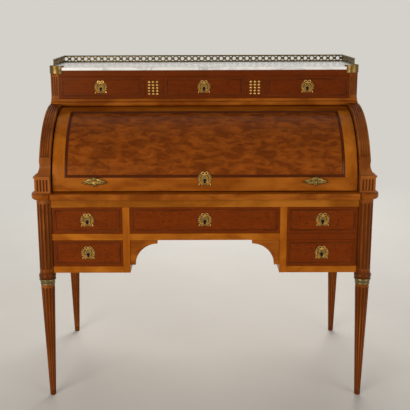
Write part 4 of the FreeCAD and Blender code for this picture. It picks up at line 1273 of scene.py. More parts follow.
@dataclass(frozen=True)
class KeyholePlate:
    """Medal with a keyhole in a laurel wreath under a ribbon bow, facing -Y."""

    medal_width: float = 12.0 * MM
    medal_height: float = 16.5 * MM
    medal_steps: int = 48
    medal_section_shares: tuple[Flat, ...] = (
        (0.0, 0.0), (0.0, 0.38), (0.30, 0.34), (0.58, 0.36), (0.68, 0.46), (0.76, 0.86), (0.86, 1.0),
        (0.95, 0.84), (1.0, 0.30), (1.0, 0.0),
    )
    crest: float = 4.6 * MM
    bright_crest: float = 4.4 * MM
    hole_radius: float = 5.8 * MM
    hole_drop: float = 3.0 * MM
    slot_half_width: float = 3.6 * MM
    slot_drop: float = 13.0 * MM
    backing_share: float = 0.9
    backing_back: float = 0.3 * MM
    backing_front: float = -0.9 * MM
    backing_steps: int = 24
    plate_thickness: float = 1.4 * MM
    plate_bevel: float = 0.5 * MM
    plate_side_margin: float = 1.5 * MM
    plate_end_margin: float = 0.5 * MM
    scallops: int = 18
    scallop_steps: int = 6
    scallop_share: float = 0.035
    wreath_width: float = 19.5 * MM
    wreath_height: float = 19.5 * MM
    wreath_lift: float = 2.0 * MM
    wreath_start: float = -82.0
    wreath_sweep: float = 128.0
    wreath_steps: int = 12
    stem_radius: float = 1.1 * MM
    branch_proud: float = 1.0 * MM
    leaf_length: float = 11.5 * MM
    leaf_count: int = 14
    leaf_lean: float = 36.0
    leaf_taper: float = 0.2
    leaf_rings: int = 7
    leaf_swell_start: float = 0.02
    leaf_swell_end: float = 0.99
    leaf_swell_power: float = 0.75
    leaf_arch_start: float = 0.15
    leaf_arch_run: float = 0.8
    leaf_half_share: float = 0.24
    leaf_tip_share: float = 0.02
    leaf_arch_share: float = 0.18
    leaf_section_shares: tuple[Flat, ...] = (
        (-1.0, -0.3), (-0.5, -0.9), (0.0, -1.5), (0.5, -0.9), (1.0, -0.3), (0.0, 0.2),
    )
    ribbon_sides: int = 6
    knot_proud: float = 2.4 * MM
    knot_height: float = 19.0 * MM
    knot_half_height: float = 2.6 * MM
    knot_half_width: float = 2.9 * MM
    loop_steps: int = 16
    loop_reach: float = 6.2 * MM
    loop_rise: float = 4.2 * MM
    loop_half_width: float = 1.7 * MM
    loop_deep: float = 1.1
    loop_pinch: float = 0.4
    loop_spread: float = 0.88
    loop_slant: float = 0.3
    loop_lift: float = 0.36
    tail_steps: int = 7
    tail_place: tuple[float, float, float] = (15.0 * MM, -1.4 * MM, -13.0 * MM)
    tail_run: float = 7.5 * MM
    tail_fall: float = 8.0 * MM
    tail_wave: float = 1.4 * MM
    tail_wave_pace: float = 5.0
    tail_tip: float = 1.2 * MM
    tail_swell: float = 1.3 * MM
    tail_swell_power: float = 0.8
    tail_deep: float = 0.8

    def hole_reach(self, angle: float) -> float:
        """Measures the keyhole, a round hole over a slot.

        Args:
            angle: a direction from the keyhole's middle.

        Returns:
            Distance from the middle to the edge in that direction.
        """
        dx, dz = math.cos(angle), math.sin(angle)
        along = -dz * self.hole_drop
        round_part = along + math.sqrt(self.hole_radius ** 2 - self.hole_drop ** 2 + along ** 2)
        slot_side = self.slot_half_width / max(abs(dx), TINY)
        slot_end = self.slot_drop / -dz if dz < -TINY else 0.0
        return max(round_part, min(slot_side, slot_end))

    def round_hole(self, shaper: Shaper, steps: int, section: Callable[[float], list[Flat]]) -> None:
        """Skins a section round the keyhole.

        Args:
            shaper: what collects the shells.
            steps: steps of the full turn.
            section: gives reaches from the middle and their Y in a direction.
        """
        rings = []
        for angle in turns(steps):
            across, up = math.cos(angle), math.sin(angle)
            rings.append([Vector((reach * across, y, reach * up)) for reach, y in section(angle)])
        shaper.loft(rings, loop=True)

    def medal_section(self, angle: float) -> list[Flat]:
        """Draws the dished medal with its round rim.

        Args:
            angle: the direction.

        Returns:
            The section's corners.
        """
        inner = self.hole_reach(angle)
        outer = oval_reach(angle, self.medal_width, self.medal_height)
        shares = self.medal_section_shares
        return [(inner + (outer - inner) * share, -self.crest * height) for share, height in shares]

    def plate_section(self, angle: float) -> list[Flat]:
        """Draws the thin scalloped plate that carries the medal and the wreath.

        Args:
            angle: the direction.

        Returns:
            The section's corners.
        """
        wave = 1.0 + self.scallop_share * abs(math.sin(angle * self.scallops / 2))
        inner = self.hole_reach(angle)
        wide = self.wreath_width + self.plate_side_margin
        outer = oval_reach(angle, wide, self.wreath_height + self.plate_end_margin, wave)
        face = -self.plate_thickness
        return [(inner, 0.0), (inner, face), (outer - self.plate_bevel, face), (outer, 0.0)]

    def backing(self) -> bpy.types.Mesh:
        """Makes the iron plug close behind the keyhole, which is painted fully dark as the shade inside the
        keyhole.

        Returns:
            The iron's mesh.
        """
        shaper = Shaper()
        wide, tall = self.backing_share * self.medal_width, self.backing_share * self.medal_height
        rim = oval(self.backing_steps, wide, tall)
        shaper.loft([[Vector((x, y, z)) for x, z in rim] for y in (self.backing_back, self.backing_front)])
        return shaper.finish("keyhole_backing", smooth=False)

    def leaf(self) -> bpy.types.Mesh:
        """Makes one small ridged leaf along X.

        Returns:
            The leaf's mesh.
        """
        shaper = Shaper()
        length = self.leaf_length
        rings = []
        for share in even_shares(self.leaf_rings):
            grown = min(share ** self.leaf_swell_power + self.leaf_swell_start, self.leaf_swell_end)
            swell = math.sin(math.pi * grown)
            half = max(self.leaf_half_share * length * swell, self.leaf_tip_share * length)
            bent = math.sin(math.pi * (self.leaf_arch_start + self.leaf_arch_run * share))
            arch = self.leaf_arch_share * length * bent
            section = [(y * arch - self.branch_proud, z * half) for z, y in self.leaf_section_shares]
            rings.append([Vector((share * length, y, z)) for y, z in section])
        shaper.loft(rings)
        return shaper.finish("laurel_leaf")

    def wreath(self, shaper: Shaper) -> None:
        """Adds a leafy branch up each side of the medal.

        Args:
            shaper: what collects the shells.
        """
        path = []
        for k in range(self.wreath_steps + 1):
            angle = math.radians(self.wreath_start + self.wreath_sweep * k / self.wreath_steps)
            rise = self.wreath_height * math.sin(angle) + self.wreath_lift
            path.append(Vector((self.wreath_width * math.cos(angle), 0, rise)))
        lean = math.radians(self.leaf_lean)
        leaves = FLAT_REPEATER.run(path, self.leaf(), self.leaf_count, GILT, lean, self.leaf_taper)
        for side in (1, -1):
            flip = Matrix.Diagonal((side, 1, 1, 1))
            shaper.stamp(leaves, flip)
            stem = [flip @ point + Vector((0, -self.branch_proud, 0)) for point in path]
            shaper.tube(stem, [self.stem_radius] * len(stem), 1.0, self.ribbon_sides)

    def bow(self, shaper: Shaper) -> None:
        """Adds two ribbon loops, their knot and the tails at the lower corners.

        Args:
            shaper: what collects the shells.
        """
        knot = Vector((0, -self.knot_proud, self.knot_height))
        x, y, z = self.tail_place
        for side in (1, -1):
            loop = []
            for angle in turns(self.loop_steps):
                out = self.loop_reach * (1 - math.cos(angle))
                pinch = 1 - self.loop_pinch + self.loop_pinch * math.sin(angle / 2)
                rise = self.loop_rise * math.sin(angle) * pinch
                across = out * self.loop_spread - rise * self.loop_slant
                loop.append(knot + Vector((side * across, 0, out * self.loop_lift + rise)))
            widths = [self.loop_half_width] * len(loop)
            shaper.tube(loop, widths, self.loop_deep, self.ribbon_sides, loop=True)
            tail, wide = [], []
            for share in even_shares(self.tail_steps):
                wave = self.tail_wave * math.sin(self.tail_wave_pace * share)
                out = x + self.tail_run * share + wave
                tail.append(Vector((side * out, y, z - self.tail_fall * share)))
                swell = math.sin(math.pi * share) ** self.tail_swell_power
                wide.append(self.tail_tip + self.tail_swell * swell)
            shaper.tube(tail, wide, self.tail_deep, self.ribbon_sides)
        shaper.bead(knot, self.knot_half_height, self.knot_half_width, deep=0.9, sides=8, rows=3,
                    blunt=0.4, least=0.15)

    def mesh(self) -> bpy.types.Mesh:
        """Makes the whole plate with its back on the plane of Y zero.

        Returns:
            The plate's mesh.
        """
        shaper = Shaper()
        self.round_hole(shaper, self.scallop_steps * self.scallops, self.plate_section)
        self.round_hole(shaper, self.medal_steps, self.medal_section)
        self.wreath(shaper)
        self.bow(shaper)
        mesh = shaper.finish("keyhole_plate")
        # Painted shade, part patina, darkens the plate's hollows.
        shade_hollows(mesh, 0.0, self.bright_crest)
        return mesh


@dataclass(frozen=True)
class LeafPull:
    """Spray of lobed leaves on a stud, facing -Y, with its root at the origin."""

    standoff: float = 11.0 * MM
    stud_radius: float = 5.5 * MM
    stud_sides: int = 16
    stud_sink: float = 4.0 * MM
    stud_tip: float = 3.0 * MM
    stud_tip_radius: float = 1.0 * MM
    bulb_proud: float = 2.0 * MM
    bulb_radius: float = 5.5 * MM
    leaf_length: float = 46.0 * MM
    # Each leaf's share of the longest one, its direction in degrees and its fullness.
    leaf_shares: tuple[tuple[float, float, float], ...] = (
        (1.0, -17.0, 0.15), (0.82, -30.0, 0.17), (0.62, -46.0, 0.20), (0.52, -68.0, 0.22),
        (0.30, 14.0, 0.30), (0.22, 52.0, 0.34),
    )
    tip_shares: tuple[float, float, float] = (0.64, -90.0, 0.22)
    rings: int = 15
    ring_points: int = 11
    lobes: float = 3.5
    lobe_share: float = 0.26
    sweep_share: float = 0.22
    swell_start: float = 0.10
    swell_run: float = 0.88
    swell_end: float = 0.995
    swell_power: float = 0.85
    least_half_width: float = 0.6 * MM
    thickness: float = 1.2 * MM
    arch: float = 3.2 * MM
    droop: float = 1.6 * MM
    furrow: float = 0.9 * MM
    furrows: int = 3
    dish: float = 2.4 * MM
    dish_start: float = 0.15
    hollow_seat: float = 4.5 * MM
    hollow_height: float = 9.0 * MM

    def leaf(self, shaper: Shaper, share: float, degrees: float, fullness: float) -> None:
        """Adds one lobed leaf that arches away from the root.

        Args:
            shaper: what collects the leaves.
            share: its length as a share of the longest leaf.
            degrees: its direction above the horizontal, to the right.
            fullness: its half width as a share of its length.
        """
        length = share * self.leaf_length
        way = Vector((math.cos(math.radians(degrees)), 0, math.sin(math.radians(degrees))))
        across = Vector((-way.z, 0, way.x))
        out = Vector((0, -1, 0))
        rings = []
        for u in even_shares(self.rings):
            lobes = 1 - self.lobe_share + self.lobe_share * abs(math.sin(self.lobes * math.pi * u))
            grown = min(self.swell_start + self.swell_run * u ** self.swell_power, self.swell_end)
            swell = math.sin(math.pi * grown)
            half = max(fullness * length * swell * lobes, self.least_half_width)
            height = self.standoff + self.arch * math.sin(math.pi * u) - self.droop * u
            spine = way * (u * length) + out * height
            top, low = [], []
            for i in range(self.ring_points):
                v = 2 * i / (self.ring_points - 1) - 1
                furrow = self.furrow * math.cos(self.furrows * math.pi * v) * (1 - abs(v))
                dish = self.dish * (1 - abs(v)) * math.sin(math.pi * min(u + self.dish_start, 1.0))
                point = spine + across * (half * v) + way * (-self.sweep_share * half * abs(v))
                top.append(point + out * (furrow + dish))
                low.append(point - out * self.thickness)
            rings.append(top + low[::-1])
        shaper.loft(rings)

    def mesh(self) -> bpy.types.Mesh:
        """Makes the whole pull.

        Returns:
            The pull's mesh.
        """
        shaper = Shaper()
        for share, degrees, fullness in self.leaf_shares:
            self.leaf(shaper, share, degrees, fullness)
            self.leaf(shaper, share, 180.0 - degrees, fullness)
        self.leaf(shaper, *self.tip_shares)
        shaper.bead(Vector((0, -self.standoff - self.bulb_proud, 0)), self.bulb_radius, self.bulb_radius,
                    deep=1.0, sides=12, rows=4, blunt=0.3, least=0.12)
        stud = []
        for radius, y in ((self.stud_radius, self.stud_sink), (self.stud_radius, -self.standoff),
                          (self.stud_tip_radius, -self.standoff - self.stud_tip)):
            stud.append([Vector((x, y, z)) for x, z in oval(self.stud_sides, radius, radius)])
        shaper.loft(stud)
        mesh = shaper.finish("leaf_pull")
        # Painted shade, part patina, darkens the pull's hollows.
        shade_hollows(mesh, -self.standoff + self.hollow_seat, self.hollow_height)
        return mesh


# Sub-assemblies


@dataclass
class Assembly:
    """A group of pieces that ride on one body."""

    body: str = "carcase"
    pieces: list[str] = field(default_factory=list)

    def build(self) -> None:
        """Dresses the sub-assembly."""
        raise NotImplementedError

    def add(self, name: str, mesh: bpy.types.Mesh, finish: Finish, stands_for: Sequence[str] = ()) -> None:
        """Puts a finished mesh on the body.

        Args:
            name: the piece's name.
            mesh: the piece, already in its place.
            finish: what it is made of.
            stands_for: nodes that it takes the place of.
        """
        piece = hang(name, mesh)
        if not mesh.materials:
            mesh.materials.append(finish.material())
        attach(piece, self.body)
        if stands_for:
            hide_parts(*stands_for)
        self.pieces.append(name)

    def dress(self, finish: Finish, *nodes: str) -> None:
        """Gives nodes a finish and leaves their shape.

        Args:
            finish: what the nodes are made of.
            nodes: the nodes.
        """
        for node in nodes:
            thing = frame["nodes"][node]
            thing.data.materials.clear()
            thing.data.materials.append(finish.material())
            self.pieces.append(node)

    def ease(self, finish: Finish, width: float, *nodes: str, pick: Optional[Pick] = None) -> None:
        """Puts copies with eased edges in the place of nodes.

        Args:
            finish: what the copies are made of.
            width: how wide the eased edges are.
            nodes: nodes that are copied.
            pick: tells by its middle whether an edge is eased, and all are where it is left out.
        """
        for node in nodes:
            self.add(node + "_board", eased_copy(node, width, pick), finish, [node])

    def flute(self, finish: Finish, *nodes: str) -> None:
        """Puts copies with worn arrises and flutes darkened as painted shade in the place of fluted nodes.
        """
        for node in nodes:
            self.add(node + "_fluted", fluted_copy(node), finish, [node])

    def split(self, piece: str, finish: Finish, choose: Pick) -> None:
        """Gives the faces of a piece that lie in a region another finish.

        Args:
            piece: the piece's name.
            finish: the other finish.
            choose: tells by its middle whether a face takes that finish.
        """
        mesh = bpy.data.objects[piece].data
        mesh.materials.append(finish.material())
        index = len(mesh.materials) - 1
        for face in mesh.polygons:
            if choose(face.center):
                face.material_index = index

    def set_lock(self, node: str, plate: KeyholePlate, spots: Sequence[Matrix]) -> None:
        """Puts keyhole plates and the iron behind them in the place of a lock node.

        Args:
            node: the lock node.
            plate: the plate that is set.
            spots: place of each plate.
        """
        gilt, dark = Shaper(), Shaper()
        face, backing = plate.mesh(), plate.backing()
        for spot in spots:
            gilt.stamp(face, spot)
            dark.stamp(backing, spot)
        dark.stamp(lock_cases(node))
        self.add(node + "_plate", gilt.finish(node + "_plate"), GILT, [node])
        case = dark.finish(node + "_case", smooth=False)
        # Painted shade: the iron in the keyholes and the lock cases are all set fully dark, for the shade
        # inside each keyhole.
        mark_hollow(case, [1.0] * len(case.vertices))
        self.add(node + "_case", case, IRON)

    def report(self) -> None:
        """Logs the pieces that were dressed."""
        for name in self.pieces:
            log.info("%s rides on %s", name, self.body)


@dataclass
class LegFrame(Assembly):
    """Legs, collars and the frame of rails and boards below the waist."""

    board_edge: float = 1.2 * MM
    rail_edge: float = 1.0 * MM
    oak_edge: float = 0.8 * MM
    collar_section_mm: tuple[Flat, ...] = (
        (20.2, 0.3), (24.6, 0.3), (25.6, 0.9), (25.9, 2.0), (25.4, 3.0), (25.2, 3.4), (25.7, 7.0),
        (26.6, 11.0), (27.4, 14.0), (27.2, 14.6), (28.2, 15.2), (29.3, 16.4), (29.6, 17.8), (29.3, 19.4),
        (28.6, 20.3), (20.2, 20.6),
    )
    collar_steps: int = 48
    collar_radius: float = 28.5 * MM
    collar_drop: float = 0.2 * MM
    collar_shade: float = 9.0 * MM

    def collars(self) -> None:
        """Puts turned collars round the necks of the legs, darker away from their rims with part patina and
        part painted shade.
        """
        low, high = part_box("leg_collars")
        inset = self.collar_radius
        centres = [(x, y) for x in (low.x + inset, high.x - inset) for y in (low.y + inset, high.y - inset)]
        turned = Shaper()
        section = [(radius * MM, height * MM) for radius, height in self.collar_section_mm]
        turned.lathe(section, self.collar_steps)
        collar = turned.finish("collar")
        shaper = Shaper()
        for x, y in centres:
            shaper.stamp(collar, Matrix.Translation((x, y, low.z - self.collar_drop)))
        mesh = shaper.finish("leg_collar_rings")
        # The collar darkens towards the leg: part patina, part painted shade.
        rim = max(radius for radius, _ in section)
        depths = []
        for vertex in mesh.vertices:
            depths.append(rim - min(math.hypot(vertex.co.x - x, vertex.co.y - y) for x, y in centres))
        mark_hollow(mesh, [clip(depth / self.collar_shade) for depth in depths])
        self.add("leg_collar_rings", mesh, OLD_BRASS, ["leg_collars"])

    def build(self) -> None:
        """Dresses the legs and the frame."""
        self.flute(LEG_WOOD, "front_leg_left", "front_leg_right", "back_leg_left", "back_leg_right")
        self.collars()
        self.ease(BOARD_WOOD, self.board_edge, "side_aprons")
        self.ease(INNER_WOOD, self.board_edge, "back_apron")
        self.ease(LEDGE_WOOD, self.board_edge, "kneehole_brackets")
        self.ease(TOP_RAIL_WOOD, self.rail_edge, "frieze_top_rail")
        self.ease(RAIL_WOOD, self.rail_edge, "frieze_rails")
        self.ease(STILE_WOOD, self.rail_edge, "frieze_stiles")
        self.ease(BOARD_WOOD, self.rail_edge, "pedestal_partitions")
        self.ease(OAK, self.oak_edge, "drawer_supports")
        self.ease(OAK_ACROSS, self.oak_edge, "slide_bed")


@dataclass
class Waist(Assembly):
    """The ledge round the waist."""

    nose: float = 2.4 * MM

    def build(self) -> None:
        """Rounds the ledge's nose."""
        self.ease(LEDGE_SIDE_WOOD, self.nose, "waist_mouldings")


@dataclass
class WritingBoard(Assembly):
    """Pull-out board with its leather and a tooled border."""

    body: str = "writing_board"
    nose: float = 2.6 * MM
    nose_depth: float = 1.0 * MM
    border_inset: float = 14.0 * MM
    line_width: float = 1.6 * MM
    line_gap: float = 6.0 * MM
    line_sink: float = -0.1 * MM
    line_proud: float = 0.08 * MM
    lozenge_share: float = 0.36
    lozenge_pitch: float = 12.0 * MM

    def lozenge(self) -> bpy.types.Mesh:
        """Makes one stamped lozenge.

        Returns:
            The lozenge's mesh.
        """
        half = self.lozenge_share * self.line_gap
        shaper = Shaper()
        shaper.slab([(half, 0), (0, half), (-half, 0), (0, -half)], self.line_sink, self.line_proud)
        return shaper.finish("lozenge", smooth=False)

    def tooling(self) -> None:
        """Adds two gilt lines and a row of stamped lozenges round the leather."""
        low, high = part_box("slide_leather")
        shaper = Shaper()

        def lift(x: float, y: float, height: float) -> Vector:
            """Point above the leather."""
            return Vector((x, y, high.z + height))

        section = (
            (0.0, self.line_sink), (0.0, self.line_proud), (self.line_width, self.line_proud),
            (self.line_width, self.line_sink),
        )
        for inset in (self.border_inset, self.border_inset + self.line_gap + 2 * self.line_width):
            corners = (low.x + inset, high.x - inset, low.y + inset, high.y - inset)
            shaper.frame(corners, section, 1, lift)
        middle = self.border_inset + self.line_width + self.line_gap / 2 + self.line_width / 2
        shape = self.lozenge()
        x0, x1, y0, y1 = low.x + middle, high.x - middle, low.y + middle, high.y - middle
        for (ax, ay), (bx, by) in (((x0, y0), (x1, y0)), ((x0, y1), (x1, y1)), ((x0, y0), (x0, y1)),
                                   ((x1, y0), (x1, y1))):
            ends = [Vector((ax, ay, high.z)), Vector((bx, by, high.z))]
            count = int((ends[1] - ends[0]).length / self.lozenge_pitch)
            shaper.stamp(PLAN_REPEATER.run(ends, shape, count, GILT))
        self.add("leather_tooling", shaper.finish("leather_tooling", smooth=False), GILT)

    def build(self) -> None:
        """Rounds the board's front and finishes the leather."""
        low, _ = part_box("writing_slide")
        front = low.y + self.nose_depth
        self.ease(LEDGE_WOOD, self.nose, "writing_slide", pick=lambda middle: middle.y < front)
        self.dress(LEATHER, "slide_leather")
        self.tooling()


@dataclass
class Fall(Assembly):
    """Quarter-cylinder fall with its panel, moulding, lock, pulls and arms."""

    body: str = "cylinder"
    plate: KeyholePlate = KeyholePlate()
    pull: LeafPull = LeafPull()
    frame_edge: float = 1.0 * MM
    panel_edge: float = 0.8 * MM
    panel_half_width: float = 483.0 * MM
    panel_low: float = 8.6
    panel_high: float = 74.0
    stile_lap: float = 2.0 * MM
    lock_angle: float = 7.0
    lock_sink: float = 0.4 * MM
    pull_angle: float = 7.5
    pull_x: float = 380.0 * MM
    moulding_section_mm: tuple[Flat, ...] = (
        (-1.0, -3.0), (-1.0, 0.1), (0.2, 0.7), (1.8, 0.9), (3.4, 0.6), (4.8, -0.4), (6.2, -1.0),
        (8.2, -1.2), (9.6, -2.0), (10.0, -4.6),
    )
    moulding_steps: int = 40

    def __post_init__(self) -> None:
        """Takes the axis and the radius from the frame."""
        joint = next(one for one in frame["joints"] if one["child"] == self.body)
        self.axis = Vector(joint["pos_m"])
        self.radius = self.axis.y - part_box("cylinder_frame")[0].y

    def on_face(self, x: float, arc: float, height: float) -> Vector:
        """Finds a point on the fall.

        Args:
            x: its place across.
            arc: its place along the arc.
            height: its height above the face.

        Returns:
            The point.
        """
        angle = arc / self.radius
        reach = self.radius + height
        return Vector((x, self.axis.y - reach * math.cos(angle), self.axis.z + reach * math.sin(angle)))

    def seat(self, degrees: float, x: float) -> Matrix:
        """Gives the place of an ornament on the fall at an angle."""
        spot = self.on_face(x, math.radians(degrees) * self.radius, 0.0)
        return Matrix.Translation(spot) @ Matrix.Rotation(math.radians(degrees), 4, Vector((-1, 0, 0)))

    def panel_moulding(self) -> None:
        """Adds the moulding that holds the panel."""
        low, high = (math.radians(one) * self.radius for one in (self.panel_low, self.panel_high))
        shaper = Shaper()
        corners = (-self.panel_half_width, self.panel_half_width, low, high)
        section = [(inset * MM, height * MM) for inset, height in self.moulding_section_mm]
        shaper.frame(corners, section, self.moulding_steps, self.on_face)
        self.add("panel_moulding", shaper.finish("panel_moulding"), MOULDING_WOOD)

    def ornaments(self) -> None:
        """Sets the keyhole plate and the two pulls."""
        spot = self.seat(self.lock_angle, 0.0) @ Matrix.Translation((0, self.lock_sink, 0))
        self.set_lock("cylinder_lock", self.plate, [spot])
        shaper = Shaper()
        spray = self.pull.mesh()
        for side in (-1, 1):
            shaper.stamp(spray, self.seat(self.pull_angle, side * self.pull_x))
        self.add("leaf_pulls", shaper.finish("leaf_pulls"), PULL_GILT, ["cylinder_pulls"])

    def build(self) -> None:
        """Dresses the fall."""
        self.ease(FALL_RAIL_WOOD, self.frame_edge, "cylinder_frame")
        edge = self.panel_half_width - self.stile_lap
        self.split("cylinder_frame_board", STILE_WOOD, lambda middle: abs(middle.x) > edge)
        self.ease(FALL_WOOD, self.panel_edge, "cylinder_panel")
        self.dress(IRON, "cylinder_arms")
        self.panel_moulding()
        self.ornaments()


@dataclass
class Drawer(Assembly):
    """One drawer with its front, box and locks."""

    front: str = ""
    box: str = ""
    lock: str = ""
    plate: KeyholePlate = KeyholePlate()
    plate_rows: tuple[float, ...] = ()
    wood: WoodFinish = FRONT_WOOD
    front_edge: float = 0.9 * MM
    box_edge: float = 0.8 * MM
    front_depth: float = 22.5 * MM
    back_lap: float = 0.4 * MM
    frame_proud: float = 2.5 * MM
    frame_lap: float = 0.3 * MM
    tail_pitch: float = 26.0 * MM
    tail_depth: float = 13.0 * MM
    tail_root: float = 5.5 * MM
    tail_tip: float = 9.0 * MM
    tail_proud: float = 0.15 * MM

    def spots(self) -> list[Matrix]:
        """Finds the places of the keyhole plates, one in the middle of each moulded frame.

        Returns:
            The places.
        """
        low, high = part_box(self.front)
        x, y = (low.x + high.x) / 2, low.y + self.frame_proud
        return [Matrix.Translation((x, y, low.z + row)) for row in self.plate_rows]

    def dovetails(self) -> None:
        """Inlays the tails of the sides in the ends of the front."""
        low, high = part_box(self.front)
        outline = (
            (-self.tail_root, 0.0), (self.tail_root, 0.0), (self.tail_tip, -self.tail_depth),
            (-self.tail_tip, -self.tail_depth),
        )
        tail = Shaper()
        tail.slab(outline, -self.tail_proud, self.tail_proud)
        shape = tail.finish("dovetail", smooth=False)
        count = round((high.z - low.z) / self.tail_pitch)
        step = (high.z - low.z) / count
        back = low.y + self.front_depth
        shaper = Shaper()
        for x in (low.x, high.x):
            path = [Vector((x, back, low.z + step / 2)), Vector((x, back, high.z - step / 2))]
            shaper.stamp(FLAT_REPEATER.run(path, shape, count, OAK))
        self.add(self.front + "_dovetails", shaper.finish(self.front + "_dovetails", smooth=False), OAK)

    def build(self) -> None:
        """Dresses the drawer."""
        self.ease(self.wood, self.front_edge, self.front)
        low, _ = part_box(self.front)
        face = low.y + self.frame_proud - self.frame_lap
        self.split(self.front + "_board", MOULDING_WOOD, lambda middle: middle.y < face)
        if self.box:
            self.ease(OAK, self.box_edge, self.box)
        else:
            back = low.y + self.front_depth + self.back_lap
            self.split(self.front + "_board", OAK, lambda middle: middle.y > back)
        self.dovetails()
        self.set_lock(self.lock, self.plate, self.spots())


@dataclass
class NestDrawer(Assembly):
    """Small drawer in the nest, with a brass knob."""

    node: str = ""
    edge: float = 0.7 * MM
    knob_reach: float = 19.0 * MM
    front_thickness: float = 12.0 * MM
    lap: float = 0.4 * MM

    def build(self) -> None:
        """Dresses the front, the box and the knob."""
        self.ease(UPPER_WOOD, self.edge, self.node)
        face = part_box(self.node)[0].y + self.knob_reach
        piece = self.node + "_board"
        self.split(piece, OAK, lambda middle: middle.y > face + self.front_thickness + self.lap)
        self.split(piece, CAP_BRASS, lambda middle: middle.y < face - self.lap)


@dataclass
class Case(Assembly):
    """Curved sides, pilasters, back and the nest between them."""

    side_edge: float = 0.8 * MM
    board_edge: float = 1.0 * MM

    def build(self) -> None:
        """Dresses the case."""
        self.ease(BOARD_WOOD, self.side_edge, "curved_side_left", "curved_side_right")
        self.flute(LEG_WOOD, "pilaster_left", "pilaster_right")
        self.ease(INNER_WOOD, self.board_edge, "back_panel", "nest_boards", "nest_uprights")


@dataclass
class UpperCase(Assembly):
    """Case of three drawers under the marble."""

    floor_edge: float = 1.2 * MM
    board_edge: float = 1.0 * MM
    husk_section_shares: tuple[Flat, ...] = (
        (0.3, 3.6), (1.1, 3.0), (1.5, 1.8), (2.6, 0.4), (3.5, -1.6), (3.3, -2.8), (2.0, -3.6),
        (0.8, -4.2), (0.3, -4.6),
    )
    husk_size: float = 1.28 * MM
    husk_sides: int = 12
    husk_petals: int = 6
    petal_share: float = 0.10
    husk_count: int = 5
    husk_crest: float = 3.2 * MM
    drop_columns: int = 3
    drop_pitch: float = 15.0 * MM
    drop_half_width: float = 3.4 * MM
    drop_depth: float = 1.8 * MM
    drop_overhang: float = 1.6 * MM

    def husk(self) -> bpy.types.Mesh:
        """Makes one husk with round petals, drawn along X.

        Returns:
            The husk's mesh.
        """
        shaper = Shaper()
        rings = []
        for radius, height in self.husk_section_shares:
            ring = []
            for angle in turns(self.husk_sides):
                reach = radius * (1.0 + self.petal_share * math.cos(self.husk_petals * angle))
                corner = Vector((height, reach * math.cos(angle), reach * math.sin(angle)))
                ring.append(corner * self.husk_size)
            rings.append(ring)
        shaper.loft(rings)
        return shaper.finish("husk")

    def drops(self) -> None:
        """Hangs three strings of husks in the recess of each divider."""
        low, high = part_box("divider_drops")
        shape = self.husk()
        y = high.y - self.drop_depth
        ends = (low.z - self.drop_overhang, high.z + self.drop_overhang)
        shaper = Shaper()
        for side in (1, -1):
            for column in range(self.drop_columns):
                x = high.x - self.drop_half_width - self.drop_pitch * column
                path = [Vector((side * x, y, z)) for z in ends]
                shaper.stamp(FLAT_REPEATER.run(path, shape, self.husk_count, GILT))
        mesh = shaper.finish("husk_drops")
        # Painted shade, part patina, darkens the husks' hollows.
        shade_hollows(mesh, y, self.husk_crest)
        self.add("husk_drops", mesh, GILT, ["divider_drops"])

    def build(self) -> None:
        """Dresses the upper case."""
        self.ease(LEDGE_WOOD, self.floor_edge, "upper_case_floor")
        self.flute(LEG_WOOD, "upper_posts")
        self.ease(UPPER_WOOD, self.board_edge, "upper_top_rail", "upper_dividers")
        self.ease(BOARD_WOOD, self.board_edge, "upper_case_boards")
        self.drops()


